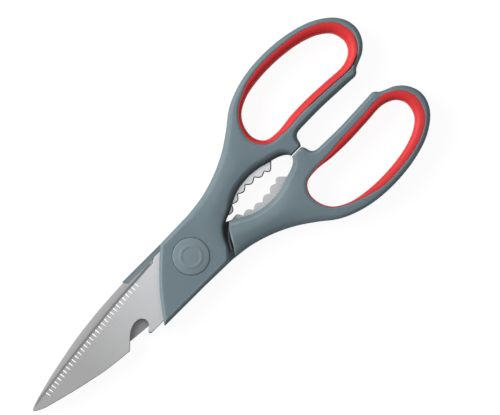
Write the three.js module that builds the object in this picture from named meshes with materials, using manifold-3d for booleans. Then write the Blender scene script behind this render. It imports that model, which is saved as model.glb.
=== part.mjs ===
// Kitchen shears: two steel blades on one pivot, each moulded into a plastic handle with a soft
// finger liner. They lie flat on a table, in millimetres, +Z up. The pivot axis is the Z axis and
// the underside is z = 0. +X runs from the pivot to the handles, so the blade tips are at -X.
// Both halves are the same moulding: the rear half is the front half turned over about the long axis.

import * as THREE from "three";
import { mergeVertices } from "three/addons/utils/BufferGeometryUtils.js";
import Module from "manifold-3d";

const wasm = await Module();
wasm.setup();

// Main sizes in plan
const BLADE_REACH = 96; // from the pivot to the tips
const ARM_LENGTH = 50; // from the pivot to where the finger loops begin
const LOOP_LENGTH = 70.7; // of a finger loop, from there to its far end
const LOOP_SPREAD = 40; // from the middle line to a finger loop's outer side

// Pivot stack, the same on both sides of the blades
const CAP_RADIUS = 8.5;
const CAP_THICKNESS = 1.4;
const CAP_CHAMFER = 0.3;
const CAP_FIT = 0.1; // radial gap between a cap and its recess
const HEAD_ROOM = 0.35; // free height between the stud's head, or the nut, and the cap
const HEAD_RADIUS = 5;
const HEAD_HEIGHT = 1.4; // also the nut's
const HEAD_CHAMFER = 0.3;
const NUT_ACROSS_FLATS = 9;
const THREAD_FIT = 0.05; // radial gap between the shank and the nut
const SHANK_RADIUS = 3;
const RUNNING_FIT = 0.08; // radial gap between the shank and what turns on it
const WASHER_RADIUS = 5.2;
const WASHER_THICKNESS = 0.5; // also the disc spring's height in place
const SPRING_SHEET = 0.3;
const THRUST_WASHER_RADIUS = 6;
const BORE_ROOM = 0.4; // radial gap between the pivot's hardware and the bore in the cover

// Blades
const BLADE_THICKNESS = 2.2;
const BLADE_GAP = 0.3; // between the two blades, filled by the thrust washer at the pivot
const BLADE_HALF_WIDTH = 11.4; // of the shank, under the cover
const HEEL_STEP = 2.6; // from the end of the cutting edge back to the shank's full width
const BEVEL_WIDTH = 1.1; // steep ground face along the cutting edge
const BEVEL_TIP_TAPER = 0.25; // the bevel narrows to nothing at the tip and at the heel
const BEVEL_HEEL_TAPER = 2;
const EDGE_LAND = 0.4; // thickness left at the cutting edge
const SERRATION_PITCH = 2.03;
const SERRATION_START = 11; // along the edge, from its heel to the first groove
const SERRATION_TIP_GAP = 8.5; // plain edge left at the tip
const SERRATION_LENGTH = 2.1; // from the bevel into the blade's face
const SERRATION_RADIUS = 0.5;
const SERRATION_DEPTH = 0.25; // at the bevel, rising to nothing at the groove's inner end

// Nutcracker jaw: lobes along an arc on the tang's inner edge, the last one cut off at its crest
const JAW_CENTRE = [38.8, -24.25];
const JAW_RADIUS = 29.5;
const JAW_LEAN = 30.5; // degrees from +Y to the jaw's near end, round its centre
const JAW_TOOTH_PITCH = 9.95; // degrees
const JAW_TOOTH_COUNT = 5.5;
const JAW_TOOTH_HEIGHT = 1.5;
const JAW_TOOTH_STEPS = 6;

// Handle moulding
const MOULD_CLEARANCE = 0.2; // between the plastic and the steel inside it
const EDGE_RADIUS = 1.8;
const EDGE_STEPS = 3;
const COVER_WALL = 1.9; // plastic beside the blade's shank
const COVER_SPINE_REACH = 29.8; // from the pivot to the cover's slanting front edge, at the spine
const COVER_HEEL_REACH = 5.8; // the same, at the cutting side
const COVER_CORNER = 1.2;
const COVER_TAIL = 3.2; // the cover's rear end is an arc this much wider than the cover
const COVER_TAIL_END = -24; // degrees round the pivot
const RELIEF_GAP = 2.6; // between that arc and the wall of the other handle's relief
const RELIEF_END = 23; // degrees round the pivot
const STOP_GAP = 0.42; // between the two handles' stop faces, as they lie

// Finger liner
const LINER_WALL = [4.75, 4.65, 3.45, 1.35, 1.95, 1.95, 3, 3.95]; // at each 45 degrees, from +X
const LINER_LIP = 0.5; // wall left at the near end of the inner face
const LINER_LIP_END = 63; // from the pivot, where the inner face's wall starts to grow
const LINER_TAPER = 25; // length in which it grows to the full wall
const LINER_FIT = 0.15; // between the liner and its seat
const LINER_ROUND = 0.9; // rounding of the liner into the finger hole
const LINER_INSET = 0.3; // depth of the liner's faces below the handle's

const CURVE_STEPS = 4;
const CIRCLE_STEPS = 36;
const WELD = 1e-4;

// Outlines of the front half, seen from its outer face, as points on smooth curves. Round a finger loop
// the points are shares of the loop's length and spread, and on the blade outside the cover they are
// shares of the blade's reach and half width.

// The nutcracker eye's edge, from the cover's tail to the stop face
const EYE_EDGE = [
  [16.6, -4.4],
  [19.3, -1.1],
  [22, 0.4],
  [26, 2.6],
  [30.5, 5.1],
  [36, 6.9],
  [42, 7.5],
  [48, 6.8],
  [53, 5.1],
  [57, 3.9],
  [59.6, 2.6],
  [61.1, 1.3],
];
// The stop face's ends, along X
const STOP_FACE = [61.5, 67.4];
// Round the stop lug, with X from the end of its face, then along the bar beside the slot
const LUG_EDGE = [
  [0.8, 1.6],
  [1.6, 4.1],
  [3.6, 5.5],
];
const BAR_EDGE_SHARES = [
  [0.368, 0.145],
  [0.509, 0.148],
  [0.651, 0.138],
  [0.786, 0.126],
];
// From the beak round the loop, and back along the arm to the cover
const BEAK_SHARES = [0.803, 0.14];
const RING_EDGE_SHARES = [
  [0.826, 0.18],
  [0.87, 0.215],
  [0.919, 0.258],
  [0.97, 0.348],
  [1, 0.485],
  [0.986, 0.635],
  [0.928, 0.772],
  [0.82, 0.893],
  [0.679, 0.968],
  [0.523, 1],
  [0.368, 0.993],
  [0.226, 0.943],
  [0.099, 0.846],
  [-0.014, 0.696],
];
const ARM_EDGE = [
  [41, 22.5],
  [32, 18.2],
  [22, 15.1],
  [12, 13.7],
];
const FINGER_HOLE_SHARES = [
  [0.894, 0.512],
  [0.871, 0.635],
  [0.799, 0.738],
  [0.679, 0.812],
  [0.509, 0.851],
  [0.354, 0.845],
  [0.219, 0.8],
  [0.124, 0.703],
  [0.081, 0.562],
  [0.079, 0.425],
  [0.12, 0.323],
  [0.205, 0.295],
  [0.339, 0.319],
  [0.481, 0.325],
  [0.636, 0.312],
  [0.778, 0.304],
  [0.854, 0.358],
  [0.888, 0.44],
];
// The relief's wall near the eye, where it leaves its arc
const RELIEF_FLARE = [
  [22.4, 0.8],
  [20, 3.3],
];
// The cutting edge of both blades, from its heel towards the tip
const CUTTING_EDGE_SHARES = [
  [-0.151, 0.851],
  [-0.273, 0.781],
  [-0.368, 0.732],
  [-0.462, 0.658],
  [-0.567, 0.561],
  [-0.693, 0.447],
  [-0.798, 0.338],
  [-0.882, 0.237],
];
// The end of each blade's edge, its tip, and its spine back towards the cover. The rear blade is the
// wider one, and a shoulder ends its spine at the cover.
const FRONT_EDGE_END_SHARES = [
  [-0.945, 0.162],
  [-0.99, 0.132],
];
const FRONT_TIP_SHARES = [-1, 0.079];
const FRONT_SPINE_SHARES = [
  [-0.988, -0.013],
  [-0.945, -0.171],
  [-0.84, -0.408],
  [-0.735, -0.614],
  [-0.63, -0.785],
  [-0.5, -0.908],
];
const REAR_EDGE_END_SHARES = [
  [-0.945, 0.105],
  [-0.99, -0.03],
];
const REAR_TIP_SHARES = [-1, -0.097];
const REAR_SPINE_SHARES = [
  [-0.992, -0.167],
  [-0.944, -0.303],
  [-0.838, -0.535],
  [-0.734, -0.719],
  [-0.629, -0.882],
  [-0.504, -1.013],
  [-0.42, -1.07],
  [-0.333, -1.114],
];
const REAR_SHOULDER_SHARES = [
  [-0.313, -1.118],
  [-0.299, -1],
];
// The ends of the shank's straight sides, along X
const SHANK = [-28, 8];
// The front blade's bottle-opener notch, from the spine to its claw
const NOTCH_SHARES = [
  [-0.468, -0.649],
  [-0.441, -0.447],
  [-0.42, -0.342],
  [-0.394, -0.281],
  [-0.368, -0.307],
  [-0.352, -0.43],
  [-0.349, -0.57],
  [-0.356, -0.711],
  [-0.378, -0.877],
];
const CLAW_SHARES = [
  [-0.38, -0.947],
  [-0.372, -1],
];
// The tang inside the handle: from the spine to the jaw, and from the jaw round its end
const TANG_INNER = [
  [14, -5.2],
  [17.4, -1.4],
  [21, 0.8],
];
const TANG_OUTER = [
  [54, 4.9],
  [52.4, 8.4],
  [50.6, 13],
  [50, 17.4],
  [47.6, 20.8],
  [43, 19.7],
  [36, 15.9],
  [28, 12.9],
  [18, 10.9],
];

// Sizes that follow from those above
const coverThickness = WASHER_THICKNESS + HEAD_HEIGHT + HEAD_ROOM + CAP_THICKNESS;
const thickness = 2 * (coverThickness + BLADE_THICKNESS) + BLADE_GAP;
const middle = thickness / 2;
const bladeInner = middle + BLADE_GAP / 2;
const bladeOuter = bladeInner + BLADE_THICKNESS;
const headFace = bladeOuter + WASHER_THICKNESS;
const headTop = headFace + HEAD_HEIGHT;
const capFace = headTop + HEAD_ROOM;
const coverHalfWidth = BLADE_HALF_WIDTH + COVER_WALL;
const coverArcRadius = coverHalfWidth + COVER_TAIL;
const reliefRadius = coverArcRadius + RELIEF_GAP;
const nutRadius = NUT_ACROSS_FLATS / 2 / Math.cos(Math.PI / 6);
const boreRadius = Math.max(WASHER_RADIUS, HEAD_RADIUS, nutRadius) + BORE_ROOM;
const turningBore = SHANK_RADIUS + RUNNING_FIT;
const clear = thickness; // how far a cutting tool reaches past the part

const radians = THREE.MathUtils.degToRad;
const vector = ([x, y]) => new THREE.Vector2(x, y);
const onBlade = ([along, across]) => vector([along * BLADE_REACH, across * BLADE_HALF_WIDTH]);
const onLoop = ([along, across]) => vector([ARM_LENGTH + along * LOOP_LENGTH, across * LOOP_SPREAD]);
const leftOf = (direction) => new THREE.Vector2(-direction.y, direction.x);

// Curves and loops. A loop is a closed list of points that runs counter-clockwise.

function closedCurve(points) {
  const knots = points.map(({ x, y }) => new THREE.Vector3(x, y, 0));
  const curve = new THREE.CatmullRomCurve3(knots, true, "centripetal");
  const count = points.length * CURVE_STEPS;
  return curve.getPoints(count).slice(0, count).map((p) => new THREE.Vector2(p.x, p.y));
}

function withoutRepeats(points) {
  return points.filter((p, i) => p.distanceTo(points.at(i - 1)) > WELD);
}

function distanceToLoop(point, loop) {
  const segment = new THREE.Line3();
  const nearest = new THREE.Vector3();
  const target = new THREE.Vector3(point.x, point.y, 0);
  const distances = loop.map((end, i) => {
    const start = loop.at(i - 1);
    segment.start.set(start.x, start.y, 0);
    segment.end.set(end.x, end.y, 0);
    return segment.closestPointToPoint(target, true, nearest).distanceTo(target);
  });
  return Math.min(...distances);
}

// The inward direction at a loop's point, lengthened so that both of its sides move by one unit.
function inwardAt(loop, i) {
  const before = leftOf(loop[i].clone().sub(loop.at(i - 1)).normalize());
  const after = leftOf(loop[(i + 1) % loop.length].clone().sub(loop[i]).normalize());
  const inward = before.clone().add(after).normalize();
  return inward.divideScalar(Math.max(inward.dot(before), 0.5));
}

// The line of the side that ends at a loop's point, moved inwards, as a start and a direction.
function movedSide(loop, i, distance) {
  const direction = loop[i].clone().sub(loop.at(i - 1)).normalize();
  const start = loop[i].clone().addScaledVector(leftOf(direction), distance);
  return { start, direction };
}

// A loop moved inwards, or outwards by a negative distance. Where points cross over each other at a
// tight corner, the sides on both hands of them run on to where they meet.
function insetLoop(loop, distance) {
  const isClear = (p) => distanceToLoop(p, loop) > 0.999 * Math.abs(distance);
  const moved = loop.map((p, i) => p.clone().addScaledVector(inwardAt(loop, i), distance));
  const kept = moved.map(isClear);
  return moved.flatMap((point, i) => {
    if (kept[i]) return [point];
    if (!kept.at(i - 1)) return [];
    let end = (i + 1) % loop.length;
    while (!kept[end]) end = (end + 1) % loop.length;
    const first = movedSide(loop, i, distance);
    const second = movedSide(loop, end, distance);
    const gap = second.start.clone().sub(first.start);
    const along = gap.cross(second.direction) / first.direction.cross(second.direction);
    const corner = first.start.addScaledVector(first.direction, along);
    return isClear(corner) ? [corner] : [];
  });
}

// Geometry

// A closed surface through outlines stacked upwards: [{ loop, z }, ...]. Each outline lies inside the
// next or round it, or is paired with it point by point.
function stack(levels) {
  const corners = [];
  const raised = ({ loop, z }) => loop.map((p) => new THREE.Vector3(p.x, p.y, z));
  const areaOf = ({ loop }) => Math.abs(THREE.ShapeUtils.area(loop));
  const addFace = (outer, inner, up) => {
    const points = [...raised(outer), ...(inner ? raised(inner) : [])];
    for (const face of THREE.ShapeUtils.triangulateShape(outer.loop, inner ? [inner.loop] : [])) {
      const [a, b, c] = face.map((i) => points[i]);
      const area = (b.x - a.x) * (c.y - a.y) - (c.x - a.x) * (b.y - a.y);
      corners.push(...(area > 0 === up ? [a, b, c] : [a, c, b]));
    }
  };
  const addWall = (low, high) => {
    const lower = raised(low);
    const upper = raised(high);
    lower.forEach((p, i) => {
      const next = (i + 1) % lower.length;
      corners.push(p, lower[next], upper[next], p, upper[next], upper[i]);
    });
  };
  addFace(levels[0], null, false);
  levels.slice(1).forEach((high, i) => {
    const low = levels[i];
    if (high.paired || high.loop === low.loop) addWall(low, high);
    else if (areaOf(low) > areaOf(high)) addFace(low, high, true);
    else addFace(high, low, false);
  });
  addFace(levels.at(-1), null, true);
  return new THREE.BufferGeometry().setFromPoints(corners);
}

// Levels of a quarter round, from a loop at the wall to the same loop moved by the radius at a face.
function quarterRound(loop, radius, zWall, zFace) {
  return Array.from({ length: EDGE_STEPS + 1 }, (_, i) => {
    const angle = (i / EDGE_STEPS) * (Math.PI / 2);
    const inset = radius * (1 - Math.cos(angle));
    return {
      loop: i === 0 ? loop : insetLoop(loop, inset),
      z: zWall + (zFace - zWall) * Math.sin(angle),
    };
  });
}

function prism(loop, z0, z1) {
  const options = { depth: z1 - z0, bevelEnabled: false };
  return new THREE.ExtrudeGeometry(new THREE.Shape(loop), options).translate(0, 0, z0);
}

function cylinder(radius, z0, z1, sides = CIRCLE_STEPS) {
  const geometry = new THREE.CylinderGeometry(radius, radius, z1 - z0, sides);
  return geometry.rotateX(Math.PI / 2).translate(0, 0, (z0 + z1) / 2);
}

// A solid turned about the Z axis, from [radius, z] points that close on themselves or on the axis.
function turned(profile) {
  return new THREE.LatheGeometry(profile.map(vector), CIRCLE_STEPS).rotateX(Math.PI / 2);
}

function solidOf(geometry) {
  const loose = geometry.index ? geometry.toNonIndexed() : geometry;
  const bare = new THREE.BufferGeometry().setAttribute("position", loose.getAttribute("position"));
  const welded = mergeVertices(bare, WELD);
  const mesh = new wasm.Mesh({
    numProp: 3,
    vertProperties: welded.getAttribute("position").array,
    triVerts: new Uint32Array(welded.index.array),
  });
  return new wasm.Manifold(mesh);
}

function geometryOf(solid) {
  const mesh = solid.getMesh();
  const geometry = new THREE.BufferGeometry();
  geometry.setAttribute("position", new THREE.BufferAttribute(mesh.vertProperties, 3));
  geometry.setIndex(new THREE.BufferAttribute(mesh.triVerts, 1));
  geometry.computeVertexNormals();
  return geometry;
}

function cut(geometry, ...tools) {
  return geometryOf(tools.reduce((solid, tool) => solid.subtract(solidOf(tool)), solidOf(geometry)));
}

function join(first, second) {
  return geometryOf(solidOf(first).add(solidOf(second)));
}

// Blade: a stamping with its tang and jaw, ground along the cutting edge

function edgeCurve(notched) {
  const end = notched ? FRONT_EDGE_END_SHARES : REAR_EDGE_END_SHARES;
  return new THREE.SplineCurve([...CUTTING_EDGE_SHARES, ...end].map(onBlade));
}

function jawPoints() {
  const count = JAW_TOOTH_COUNT * JAW_TOOTH_STEPS + 1;
  return Array.from({ length: count }, (_, i) => {
    const tooth = i / JAW_TOOTH_STEPS;
    const angle = radians(90 + JAW_LEAN - tooth * JAW_TOOTH_PITCH);
    const radius = JAW_RADIUS - JAW_TOOTH_HEIGHT * Math.abs(Math.sin(Math.PI * tooth));
    const arm = new THREE.Vector2(Math.cos(angle), Math.sin(angle));
    return vector(JAW_CENTRE).addScaledVector(arm, radius);
  });
}

// The outline from the tip along the spine, round the tang and back to the heel.
function backPoints(notched) {
  const [jawStart, ...jaw] = jawPoints();
  const [tangCorner, ...tangOuter] = TANG_OUTER;
  const path = new THREE.Path();
  path.moveTo(...onBlade(notched ? FRONT_TIP_SHARES : REAR_TIP_SHARES));
  path.splineThru((notched ? FRONT_SPINE_SHARES : REAR_SPINE_SHARES).map(onBlade));
  if (notched) path.splineThru(NOTCH_SHARES.map(onBlade));
  (notched ? CLAW_SHARES : REAR_SHOULDER_SHARES).forEach((p) => path.lineTo(...onBlade(p)));
  SHANK.forEach((x) => path.lineTo(x, -BLADE_HALF_WIDTH));
  path.splineThru([...TANG_INNER.map(vector), jawStart]);
  jaw.forEach((p) => path.lineTo(p.x, p.y));
  path.lineTo(...tangCorner);
  path.splineThru([...tangOuter.map(vector), new THREE.Vector2(SHANK[1], BLADE_HALF_WIDTH)]);
  path.lineTo(onBlade(CUTTING_EDGE_SHARES[0]).x + HEEL_STEP, BLADE_HALF_WIDTH);
  return withoutRepeats(path.getPoints(CURVE_STEPS));
}

// The blade's outline, and the same with the cutting edge at the bevel's inner line. The serrated
// blade's bevel stands outside the edge curve, and the plain blade's lies inside it.
function bladeLoops(notched) {
  const cuttingEdge = edgeCurve(notched);
  const heel = cuttingEdge.points[0];
  const tip = cuttingEdge.points.at(-1);
  const steps = cuttingEdge.points.length * CURVE_STEPS;
  const edge = cuttingEdge.getPoints(steps);
  const moved = edge.map((p, i) => {
    const tapered = Math.min(BEVEL_TIP_TAPER * p.distanceTo(tip), BEVEL_HEEL_TAPER * p.distanceTo(heel));
    const width = Math.min(BEVEL_WIDTH, tapered);
    const inward = leftOf(cuttingEdge.getTangent(i / steps));
    return p.clone().addScaledVector(inward, notched ? -width : width);
  });
  const back = backPoints(notched);
  const onCurve = [...edge, ...back];
  const offCurve = [...moved, ...back];
  return notched ? { outline: offCurve, ground: onCurve } : { outline: onCurve, ground: offCurve };
}

// Round grooves that start at the bevel and rise to nothing in the blade's face.
function serrations() {
  const upright = new THREE.Vector3(0, 1, 0);
  const cuttingEdge = edgeCurve(true);
  const edgeLength = cuttingEdge.getLength();
  const count = Math.floor((edgeLength - SERRATION_START - SERRATION_TIP_GAP) / SERRATION_PITCH) + 1;
  return Array.from({ length: count }, (_, i) => {
    const along = (SERRATION_START + i * SERRATION_PITCH) / edgeLength;
    const foot = cuttingEdge.getPointAt(along);
    const tangent = cuttingEdge.getTangentAt(along);
    const inward = leftOf(tangent).multiplyScalar(SERRATION_LENGTH);
    const floor = new THREE.Vector3(inward.x, inward.y, SERRATION_DEPTH);
    const lift = new THREE.Vector3(tangent.x, tangent.y, 0).cross(floor).setLength(SERRATION_RADIUS);
    const centre = new THREE.Vector3(foot.x, foot.y, bladeOuter - SERRATION_DEPTH).add(lift);
    const groove = new THREE.CylinderGeometry(SERRATION_RADIUS, SERRATION_RADIUS, 2 * floor.length(), 8);
    groove.applyQuaternion(new THREE.Quaternion().setFromUnitVectors(upright, floor.normalize()));
    return groove.translate(centre.x, centre.y, centre.z);
  });
}

function bladeGeometry(notched) {
  const { outline, ground } = bladeLoops(notched);
  const blank = stack([
    { loop: outline, z: bladeInner },
    { loop: outline, z: bladeInner + EDGE_LAND },
    { loop: ground, z: bladeOuter, paired: true },
  ]);
  const bore = cylinder(turningBore, bladeInner - clear, bladeOuter + clear);
  return cut(blank, bore, ...(notched ? serrations() : []));
}

// Finger liner: a soft ring between the handle and the finger hole

const fingerHole = closedCurve(FINGER_HOLE_SHARES.map(onLoop));

function fullWall(outward) {
  const turn = (outward.angle() / (2 * Math.PI)) * LINER_WALL.length;
  const i = Math.floor(turn) % LINER_WALL.length;
  const next = LINER_WALL[(i + 1) % LINER_WALL.length];
  return THREE.MathUtils.lerp(LINER_WALL[i], next, THREE.MathUtils.smoothstep(turn % 1, 0, 1));
}

// At the inner face the plastic comes close to the finger hole's near end.
function innerFaceWall(outward, point) {
  const share = THREE.MathUtils.smoothstep(point.x, LINER_LIP_END, LINER_LIP_END + LINER_TAPER);
  return THREE.MathUtils.lerp(LINER_LIP, fullWall(outward), share);
}

function seatLoop(wallAt) {
  return fingerHole.map((p, i) => {
    const outward = inwardAt(fingerHole, i).negate();
    return p.clone().addScaledVector(outward, wallAt(outward, p));
  });
}

const outerSeat = seatLoop(fullWall);
const innerSeat = seatLoop(innerFaceWall);

function linerGeometry() {
  const low = LINER_INSET;
  const high = thickness - LINER_INSET;
  const ledge = middle + LINER_FIT;
  const body = join(
    prism(insetLoop(outerSeat, LINER_FIT), ledge, high),
    prism(insetLoop(innerSeat, LINER_FIT), low, ledge + LINER_FIT),
  );
  const below = quarterRound(fingerHole, -LINER_ROUND, low + LINER_ROUND, low);
  const above = quarterRound(fingerHole, -LINER_ROUND, high - LINER_ROUND, high);
  const hole = stack([
    { loop: below.at(-1).loop, z: low - clear },
    ...below.reverse(),
    ...above,
    { loop: above.at(-1).loop, z: high + clear },
  ]);
  return cut(body, hole);
}

// Handle: cover, arm and ring in one moulding round the tang

function handleLoop() {
  const path = new THREE.Path();
  const spineCorner = new THREE.Vector2(-COVER_SPINE_REACH, -coverHalfWidth);
  const heelCorner = new THREE.Vector2(-COVER_HEEL_REACH, coverHalfWidth);
  const slope = heelCorner.clone().sub(spineCorner).setLength(COVER_CORNER);
  const tailStart = -Math.asin(coverHalfWidth / coverArcRadius);
  path.moveTo(spineCorner.x + COVER_CORNER, spineCorner.y);
  path.absarc(0, 0, coverArcRadius, tailStart, radians(COVER_TAIL_END), false);
  path.splineThru([...EYE_EDGE.map(vector), new THREE.Vector2(STOP_FACE[0], STOP_GAP / 2)]);
  path.lineTo(STOP_FACE[1], STOP_GAP / 2);
  const lug = LUG_EDGE.map(([x, y]) => new THREE.Vector2(STOP_FACE[1] + x, y));
  path.splineThru([...lug, ...BAR_EDGE_SHARES.map(onLoop)]);
  path.lineTo(...onLoop(BEAK_SHARES));
  path.splineThru([...RING_EDGE_SHARES.map(onLoop), ...ARM_EDGE.map(vector)]);
  path.lineTo(heelCorner.x + COVER_CORNER, heelCorner.y);
  path.quadraticCurveTo(heelCorner.x, heelCorner.y, heelCorner.x - slope.x, heelCorner.y - slope.y);
  path.lineTo(spineCorner.x + slope.x, spineCorner.y + slope.y);
  path.quadraticCurveTo(spineCorner.x, spineCorner.y, spineCorner.x + COVER_CORNER, spineCorner.y);
  return withoutRepeats(path.getPoints(CURVE_STEPS));
}

// The plan of the space beside the blade where the other half's cover turns.
function reliefLoop() {
  const reach = 2 * COVER_SPINE_REACH;
  const [eyeEnd, arcEnd] = RELIEF_FLARE;
  const path = new THREE.Path();
  path.moveTo(...eyeEnd);
  path.lineTo(...arcEnd);
  path.absarc(0, 0, reliefRadius, radians(RELIEF_END), Math.PI / 2, false);
  path.lineTo(-reach, reliefRadius);
  path.lineTo(-reach, -reach);
  path.lineTo(eyeEnd[0], -reach);
  return withoutRepeats(path.getPoints(3 * CURVE_STEPS));
}

function handleGeometry() {
  const loop = handleLoop();
  const body = stack([
    ...quarterRound(loop, EDGE_RADIUS, EDGE_RADIUS, 0).reverse(),
    ...quarterRound(loop, EDGE_RADIUS, thickness - EDGE_RADIUS, thickness),
  ]);
  const tang = insetLoop(bladeLoops(false).outline, -MOULD_CLEARANCE);
  return cut(
    body,
    prism(reliefLoop(), -clear, bladeInner),
    prism(tang, bladeInner - MOULD_CLEARANCE, bladeOuter + MOULD_CLEARANCE),
    cylinder(boreRadius, bladeInner, thickness + clear),
    cylinder(CAP_RADIUS + CAP_FIT, capFace, thickness + clear),
    prism(outerSeat, middle, thickness + clear),
    prism(innerSeat, -clear, middle),
  );
}

// Pivot: a stud and a nut with their washers, and a cap over each end

function capGeometry() {
  return turned([
    [0, capFace],
    [CAP_RADIUS, capFace],
    [CAP_RADIUS, thickness - CAP_CHAMFER],
    [CAP_RADIUS - CAP_CHAMFER, thickness],
    [0, thickness],
  ]);
}

function studGeometry() {
  return turned([
    [0, thickness - headTop],
    [SHANK_RADIUS, thickness - headTop],
    [SHANK_RADIUS, headFace],
    [HEAD_RADIUS, headFace],
    [HEAD_RADIUS, headTop - HEAD_CHAMFER],
    [HEAD_RADIUS - HEAD_CHAMFER, headTop],
    [0, headTop],
  ]);
}

function nutGeometry() {
  const low = thickness - headTop;
  const high = thickness - headFace;
  const bore = cylinder(SHANK_RADIUS + THREAD_FIT, low - clear, high + clear);
  return cut(cylinder(nutRadius, low, high, 6), bore);
}

function washerGeometry(radius, z0, z1) {
  return turned([
    [turningBore, z0],
    [radius, z0],
    [radius, z1],
    [turningBore, z1],
    [turningBore, z0],
  ]);
}

// A dished washer that bears on the rear blade inside and on the nut outside.
function springGeometry() {
  const low = thickness - headFace;
  const high = thickness - bladeOuter;
  return turned([
    [turningBore, high - SPRING_SHEET],
    [WASHER_RADIUS, low],
    [WASHER_RADIUS, low + SPRING_SHEET],
    [turningBore, high],
    [turningBore, high - SPRING_SHEET],
  ]);
}

// Assembly

const STEEL = { color: 0xb6b4b6, roughness: 0.35, metalness: 1 };
const PLATED_STEEL = { color: 0xc4c6c8, roughness: 0.3, metalness: 1 };
const GREY_PLASTIC = { color: 0x6f7e86, roughness: 0.55, metalness: 0 };
const RED_RUBBER = { color: 0xc8282e, roughness: 0.5, metalness: 0 };
const NYLON = { color: 0xe6e4dc, roughness: 0.6, metalness: 0 };

function part(name, geometry, finish) {
  const mesh = new THREE.Mesh(geometry, new THREE.MeshStandardMaterial(finish));
  mesh.name = name;
  return mesh;
}

const handle = handleGeometry();
const liner = linerGeometry();
const cap = capGeometry();

const frontHalf = new THREE.Group();
frontHalf.add(
  part("front_blade", bladeGeometry(true), STEEL),
  part("front_handle", handle, GREY_PLASTIC),
  part("front_grip_liner", liner, RED_RUBBER),
  part("front_pivot_cap", cap, GREY_PLASTIC),
);

const rearHalf = new THREE.Group();
rearHalf.rotation.x = Math.PI;
rearHalf.position.z = thickness;
rearHalf.add(
  part("rear_blade", bladeGeometry(false), STEEL),
  part("rear_handle", handle.clone(), GREY_PLASTIC),
  part("rear_grip_liner", liner.clone(), RED_RUBBER),
  part("rear_pivot_cap", cap.clone(), GREY_PLASTIC),
);

const pivot = new THREE.Group();
pivot.add(
  part("pivot_stud", studGeometry(), PLATED_STEEL),
  part("pivot_nut", nutGeometry(), PLATED_STEEL),
  part("head_washer", washerGeometry(WASHER_RADIUS, bladeOuter, headFace), PLATED_STEEL),
  part("spring_washer", springGeometry(), PLATED_STEEL),
  part("thrust_washer", washerGeometry(THRUST_WASHER_RADIUS, thickness - bladeInner, bladeInner), NYLON),
);

const shears = new THREE.Group();
shears.add(frontHalf, rearHalf, pivot);

export default shears;
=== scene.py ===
# Kitchen shears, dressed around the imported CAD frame. The pivot is the Z axis, +X runs from it to the
# handles and +Y to the front finger loop. Sizes are in millimetres until a mesh is made from them.

import math

import bmesh
import bpy
import numpy as np
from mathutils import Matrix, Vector
from mathutils.geometry import delaunay_2d_cdt


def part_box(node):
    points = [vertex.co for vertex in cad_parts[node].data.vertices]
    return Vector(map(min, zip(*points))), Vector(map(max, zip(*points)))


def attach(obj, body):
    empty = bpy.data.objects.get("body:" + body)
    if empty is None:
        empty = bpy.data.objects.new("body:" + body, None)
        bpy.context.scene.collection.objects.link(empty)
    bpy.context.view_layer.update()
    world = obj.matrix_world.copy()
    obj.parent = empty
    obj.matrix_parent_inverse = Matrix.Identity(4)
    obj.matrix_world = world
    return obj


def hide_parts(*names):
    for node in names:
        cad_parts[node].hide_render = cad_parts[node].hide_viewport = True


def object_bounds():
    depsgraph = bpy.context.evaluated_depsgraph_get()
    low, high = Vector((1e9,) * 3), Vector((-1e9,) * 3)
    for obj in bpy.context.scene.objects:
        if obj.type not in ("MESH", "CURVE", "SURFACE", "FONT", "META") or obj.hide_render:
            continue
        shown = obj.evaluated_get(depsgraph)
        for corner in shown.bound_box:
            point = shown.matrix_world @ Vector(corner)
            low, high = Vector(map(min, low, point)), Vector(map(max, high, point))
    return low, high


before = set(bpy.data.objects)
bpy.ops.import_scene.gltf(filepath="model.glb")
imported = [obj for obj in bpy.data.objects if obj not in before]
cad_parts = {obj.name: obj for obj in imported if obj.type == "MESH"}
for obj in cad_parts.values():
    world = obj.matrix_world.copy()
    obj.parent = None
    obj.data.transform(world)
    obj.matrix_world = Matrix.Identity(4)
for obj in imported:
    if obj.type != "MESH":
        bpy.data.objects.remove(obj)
cad_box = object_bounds()


# Rear blade: 2.2 mm stainless strip, blanked in one piece with its tang and nutcracker jaw, bead-blasted
# to a satin and ground to a steep bevel on its outer face. The rear handle is moulded round its tang.
# Every outline is drawn for the front half, outer face up, and the rear half is turned over from it.

MM = 0.001
THICKNESS = cad_box[1].z / MM
BLADE_INNER, BLADE_OUTER = (corner.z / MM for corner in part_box("front_blade"))
BLADE_HALF_WIDTH = 11.4
EDGE_LAND = 0.4
BEVEL_WIDTH = 1.1
BEVEL_TIP_TAPER = 0.25
BEVEL_HEEL_TAPER = 2
STEEL_EDGE_ROUND = 0.3
JAW_EDGE_ROUND, JAW_EDGE_FALL = 0.9, 0.45
PIVOT_BORE_RADIUS = 3.08
LIGHTER_REACH = 7
JAW_LIGHT_FROM, JAW_LIGHT_TO = 20, 28

# How finely a mesh follows its outline: steps along it, a grid inside it, rows beside a rounded edge, and
# the room that loose points leave beside a line.
PATH_STEP, EDGE_STEP, CORNER_STEP, TANG_STEP = 0.8, 0.5, 0.4, 1.5
CORNER_POINTS, PIVOT_BORE_POINTS = 7, 40
BLADE_GRID, BEVEL_CLEARANCE, BORE_CLEARANCE = 2.5, 0.15, 0.3
ROW_ANGLES, ROW_CLEARANCE = (15, 30, 45, 60, 75, 90), 0.97
LAST_ROW_SHARE, LAST_ROW_GAP = 1.15, 0.2
ON_LINE, MERGE_REACH, SLIVER_AREA, TINY = 1e-3, 1e-4, 1e-9, 1e-12
HEIGHT_DIGITS = 5
OPEN = -1
PAIRS_AT_ONCE = 1_500_000
SHARP_ANGLE = math.radians(40)

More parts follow.
